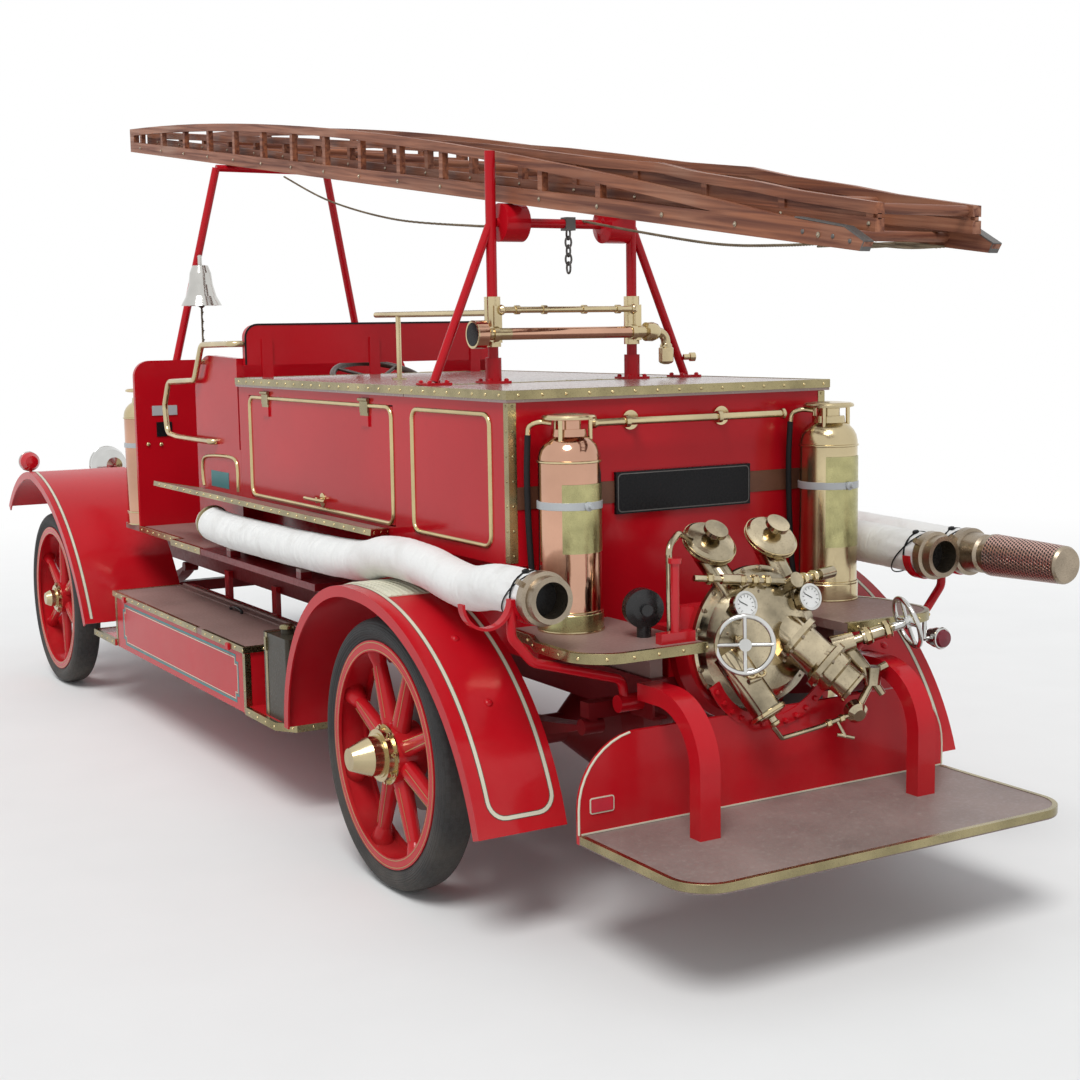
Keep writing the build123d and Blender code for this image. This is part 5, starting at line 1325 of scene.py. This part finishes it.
def makeRopes():
    parts = []
    for span in ropeSpans:
        parts += ropeStrands(smoothRun([at(*spot) for spot in span], 120), 4.2, 3, 0.035)
    makePiece("haulingRope", "rope", parts)
    lashing = []
    for base in (1150, 1205):
        for y in (base, base + 13, base + 26):
            start, end = (at(x, y, ladderZ(base) - 2) for x in (-192, 192))
            lashing += ropeStrands([start.lerp(end, step / 14) for step in range(15)], 6, 2)
    makePiece("tailLashing", "rope", lashing)


makeInnerLadder()
makeLadderTrim()
makeRopes()
print("ladder rigged")

# Gallows: shackle and chain under the roller bar, foot bolts and the bell's clapper and pull
chainLook = {"links": 5, "step": 27, "half": 0.011, "reach": 0.018, "wire": 3.5}
bellPlace = (372, -2690)


def makeGallowsTrim():
    chain = [block((-39, -296, 1954), (-3, -262, 1996))]
    for link in range(chainLook["links"]):
        out = alongX if link % 2 else alongY
        loop = ringPath(at(-21, -279, 1944 - link * chainLook["step"]), out * chainLook["half"],
                        upward * chainLook["reach"], 20)
        chain.append(sweep(loop, circle(chainLook["wire"], 8), out.cross(upward), closed=True))
    makePiece("barShackle", "iron", chain)
    feet = [(side * x + dx, -279 + dy, 1480) for side in (-1, 1) for x in (264, 476)
            for dx in (-30, 30) for dy in (-30, 30)]
    makePiece("postBolts", "redPaint", latheAll(feet, upward, ((8, 0), (8, 5), (4, 8)), 6))
    makePiece("bellClapper", "iron",
              [sweep([at(*bellPlace, 1915), at(*bellPlace, 1790)], circle(4, 8), alongX),
               lathe(at(*bellPlace, 1752), upward, ((2, 0), (13, 8), (14, 22), (6, 36)), 14)])
    makePiece("bellPull", "rope",
              ropeStrands([at(*bellPlace, 1752 - 8 * step) for step in range(22)], 5))


makeGallowsTrim()

# Branch pipes on the gallows: a black disc painting the shade in the mouth, collars, a drain elbow
# with its cup, a small cock, and the collars and end knobs of the hand rail
endKnob = ((11, 0), (15, 3), (17, 10), (13, 18), (3, 22))
railKnob = ((12.5, 0), (16, 2), (16.5, 10), (10, 17))
pipeFittings = (
    # places, axis, outline, segments
    ([(x, -237, 1702) for x in (-190, -60, 90, 190)], alongX, band(10.5, 14.5, 17), 20),
    ([(x, -237, 1627) for x in (-250, 270)], alongX, band(19.5, 24.5, 21), 24),
    ([(246, -237, 1702)], alongX, endKnob, 20),
    ([(-233, -237, 1702)], -alongX, endKnob, 20),
    ([(-286, -237, 1627)], -alongX, ((20, 0), (31, 5), (32, 30), (27, 46), (18, 56)), 28),
    ([(-373, -237, 1588)], -upward, ((17, 0), (20, 6), (20, 12), (25, 16), (25, 60), (20, 66),
                                     (8, 70)), 24),
    ([(-462, -262, 1540)], (-1, 0.3, 0), ((10, 0), (10, 20), (15, 22), (15, 40), (6, 44)), 18),
    ([(x, 400, 1377) for x in (-123, 203)], alongX, band(12.5, 17.5, 18, 2), 20),
    ([(316, 400, 1377)], alongX, railKnob, 20),
    ([(-346, 400, 1377)], -alongX, railKnob, 20),
)
elbowPlaces = ((-330, 1627), (-352, 1622), (-368, 1606), (-373, 1582))
# Black disc inside the flared mouth: painted shade
makePiece("pipeMouthShade", "blackPaint", [lathe(at(360.1, -237, 1627), alongX,
                                             ((36.5, 0), (36.5, 1), (2, 1.1)), 28)])
elbow = sweep(smoothRun([at(x, -237, z) for x, z in elbowPlaces], 6), circle(16, 16), alongY)
makePiece("pipeCollars", "hubBrass",
          [part for row in pipeFittings for part in latheAll(*row)] + [elbow])

# Cab: blank signs on the dash, black edge of the backboard
makePiece("dashSign", "greyEnamel", [block((470, -2788, 1290), (583, -2784, 1333))], bevel=1)
makePiece("dashPlate", "blackPaint", [block((496, -2788, 1197), (566, -2784, 1261))], bevel=1)
makePiece("dashScrews", "brass", [stud(at(x, -2786, z), alongY, 9)
                                  for x, z in ((606, 1166), (548, 1163))])
boardOutline = [(-540, 1522)] + arcPoints(-490, 1625, 50, range(180, 89, -15))
boardOutline += [(-x, z) for x, z in boardOutline[::-1]]
makePiece("boardEdge", "blackPaint", [sweep([at(x, -1730.4, z) for x, z in boardOutline],
                                            flatStrip(7, 1.8), alongY)])

# Fuel cans: brass straps and filler caps
canBlocks = (((790, -984, 333), (791.6, -964, 623.6)), ((626, -984, 622), (791.6, -964, 623.6)),
             ((623.4, -984, 333), (625, -964, 623.6)), ((791, -982, 560), (796, -966, 606)))
canStraps = []
for side in (-1, 1):
    canStraps += [block((side * low[0], *low[1:]), (side * high[0], *high[1:]))
                  for low, high in canBlocks]
    canStraps.append(lathe(at(side * 742, -900, 640), upward,
                           ((24, 0), (26, 2), (26, 12), (20, 16), (6, 18)), 20))
makePiece("canStraps", "edgeBrass", canStraps)

# Lamps: lens glass and rims at the front, rim of the tail lamp
frontLamps = (((400, -4155, 985), 90), ((850, -3935, 1035), 46))
lampRims, lampGlass = [], []
for side in (-1, 1):
    for (x, y, z), radius in frontLamps:
        spot = [(side * x, y, z)]
        lampRims += latheAll(spot, -alongY, ((radius, 0), (radius + 3, 3), (radius, 9),
                                             (radius * 0.88, 10)), 40)
        lampGlass += latheAll(spot, -alongY, ((radius * 0.9, 2), (radius * 0.7, 10),
                                              (radius * 0.3, 15), (1, 16)), 32)
lampRims.append(lathe(at(-603, 824, 726), alongY, ((30, 0), (33, 2), (31, 7), (27, 8)), 28))
makePiece("lampRims", "plated", lampRims)
makePiece("lampGlass", "whiteEnamel", lampGlass)

# Bonnet: brass hinge along the top and catches on the sides
makePiece("bonnetHinge", "brass", [sweep([at(0, -3840, 1300), at(0, -2890, 1300)],
                                         halfRound(3.2))])
bonnetCatches = []
for side in (-1, 1):
    for y in (-3700, -3030):
        bonnetCatches += [block((side * 285, y - 14, 1080), (side * 291, y + 14, 1150)),
                          lathe(at(side * 291, y, 1115), (side, 0, 0),
                                ((10, 0), (10, 4), (4, 12)), 12)]
makePiece("bonnetCatches", "brass", bonnetCatches)
print("small fittings made")

# Seat: a buttoned leather pad, swollen by a short cloth simulation
cushionLook = {"low": (-523, -2243), "high": (523, -1801), "foot": 1199, "height": 74,
               "edge": 0.018, "pleats": 9, "pleatDepth": 0.009, "pleatWidth": 0.07,
               "swell": 0.014, "voxel": 0.013, "frames": 14, "pressure": 4.0, "quality": 4}


def makeCushion():
    work = bmesh.new()
    bmesh.ops.create_cube(work, size=1.0)
    (lowX, lowY), (highX, highY) = cushionLook["low"], cushionLook["high"]
    height = cushionLook["height"]
    low, size = at(lowX, 0, cushionLook["foot"]), (highX - lowX, highY - lowY, height)
    middle = at((lowX + highX) / 2, (lowY + highY) / 2, cushionLook["foot"] + height / 2)
    for vert in work.verts:
        vert.co = middle + Vector([share * extent / 1000 for share, extent in zip(vert.co, size)])
    bmesh.ops.bevel(work, geom=work.edges, offset=cushionLook["edge"], segments=3,
                    affect="EDGES")
    mesh = bpy.data.meshes.new("seatPad")
    work.to_mesh(mesh)
    work.free()
    pad = addObject("seatPad", mesh)
    bpy.context.view_layer.objects.active = pad
    remesh = pad.modifiers.new("voxels", "REMESH")
    remesh.mode = "VOXEL"
    remesh.voxel_size = cushionLook["voxel"]
    bpy.ops.object.modifier_apply(modifier=remesh.name)
    start = [vert.co.copy() for vert in pad.data.vertices]
    cloth = pad.modifiers.new("stuffing", "CLOTH")
    cloth.settings.use_pressure = True
    cloth.settings.uniform_pressure_force = cushionLook["pressure"]
    cloth.settings.effector_weights.gravity = 0
    cloth.settings.quality = cushionLook["quality"]
    for number in range(1, cushionLook["frames"] + 1):
        scene.frame_set(number)
    bpy.ops.object.modifier_apply(modifier=cloth.name)
    scene.frame_set(1)
    for vert, rest in zip(pad.data.vertices, start):
        move = vert.co - rest
        if move.length > cushionLook["swell"]:
            vert.co = rest + move.normalized() * cushionLook["swell"]
        across = (vert.co.x - low.x) / (size[0] / 1000) * cushionLook["pleats"]
        seam = math.exp(-((across - round(across)) / cushionLook["pleatWidth"]) ** 2)
        top = max(0.0, min(1.0, (vert.co.z - low.z - 0.045) / 0.03))
        vert.co.z = max(vert.co.z - cushionLook["pleatDepth"] * seam * top, low.z)
    smooth = pad.modifiers.new("soften", "SUBSURF")
    smooth.levels = smooth.render_levels = 1
    bpy.ops.object.modifier_apply(modifier=smooth.name)
    pad.data.shade_smooth()
    pad.data.materials.append(finishMade["leather"])
    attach(pad, "chassis")
    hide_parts("seat_cushion")


makeCushion()
print("seat stuffed")

# Floor, world and lamp
lightLook = {"world": 0.62, "worldTint": (0.95, 0.97, 1.0, 1), "sun": 1.9, "sunAngle": 24,
             "sunWay": (-0.45, -0.5, -1.0), "floor": (0.80, 0.80, 0.79), "floorHalf": 30,
             "fadeFrom": 4.2, "fadeTo": 9.0}
white = (1, 1, 1, 1)


# One for rays that the camera, a mirror or a glass sends out
def seenRays(tree):
    path = addNode(tree, "LightPath").outputs
    seen = mathNode(tree, "MAXIMUM", path["Is Camera Ray"], path["Is Glossy Ray"])
    return mathNode(tree, "MAXIMUM", seen, path["Is Transmission Ray"])


def makeFloor():
    half = lightLook["floorHalf"]
    mesh = bpy.data.meshes.new("floor")
    mesh.from_pydata([(-half, -half, 0), (half, -half, 0), (half, half, 0), (-half, half, 0)],
                     [], [(0, 1, 2, 3)])
    material, tree, inputs = newMaterial("paleFloor")
    place = objectPlace(tree)
    speckle = rangeNode(tree, noiseNode(tree, place, 3.0, 6.0), 0.3, 0.7, 0.98, 1.0)
    feed(tree, inputs, {"Base Color": vectorNode(tree, "SCALE", lightLook["floor"], speckle),
                        "Roughness": 0.9})
    away = vectorNode(tree, "LENGTH", vectorNode(tree, "MULTIPLY", place, (1, 1, 0)))
    far = rangeNode(tree, away, lightLook["fadeFrom"], lightLook["fadeTo"])
    glow = addNode(tree, "Emission", {"Color": white, "Strength": 1.0}).outputs[0]
    shader = tree.nodes["Principled BSDF"].outputs[0]
    fade = addNode(tree, "MixShader", {0: product(tree, far, seenRays(tree)), 1: shader, 2: glow})
    feed(tree, tree.nodes["Material Output"].inputs, {"Surface": fade.outputs[0]})
    mesh.materials.append(material)
    addObject("floor", mesh)


def makeLight():
    scene.world = bpy.data.worlds.new("softSky")
    scene.world.use_nodes = True
    tree = scene.world.node_tree
    tree.nodes.clear()
    plain, shown = (addNode(tree, "Background", {"Color": colour, "Strength": strength}).outputs[0]
                    for colour, strength in ((lightLook["worldTint"], lightLook["world"]),
                                             (white, 1.0)))
    mixed = addNode(tree, "MixShader", {0: seenRays(tree), 1: plain, 2: shown})
    addNode(tree, "OutputWorld", {"Surface": mixed.outputs[0]})
    sun = bpy.data.lights.new("softSun", "SUN")
    sun.energy = lightLook["sun"]
    sun.angle = math.radians(lightLook["sunAngle"])
    way = Vector(lightLook["sunWay"]).to_track_quat("-Z", "Y")
    addObject("softSun", sun).rotation_euler = way.to_euler()


makeFloor()
makeLight()
print("stage set")
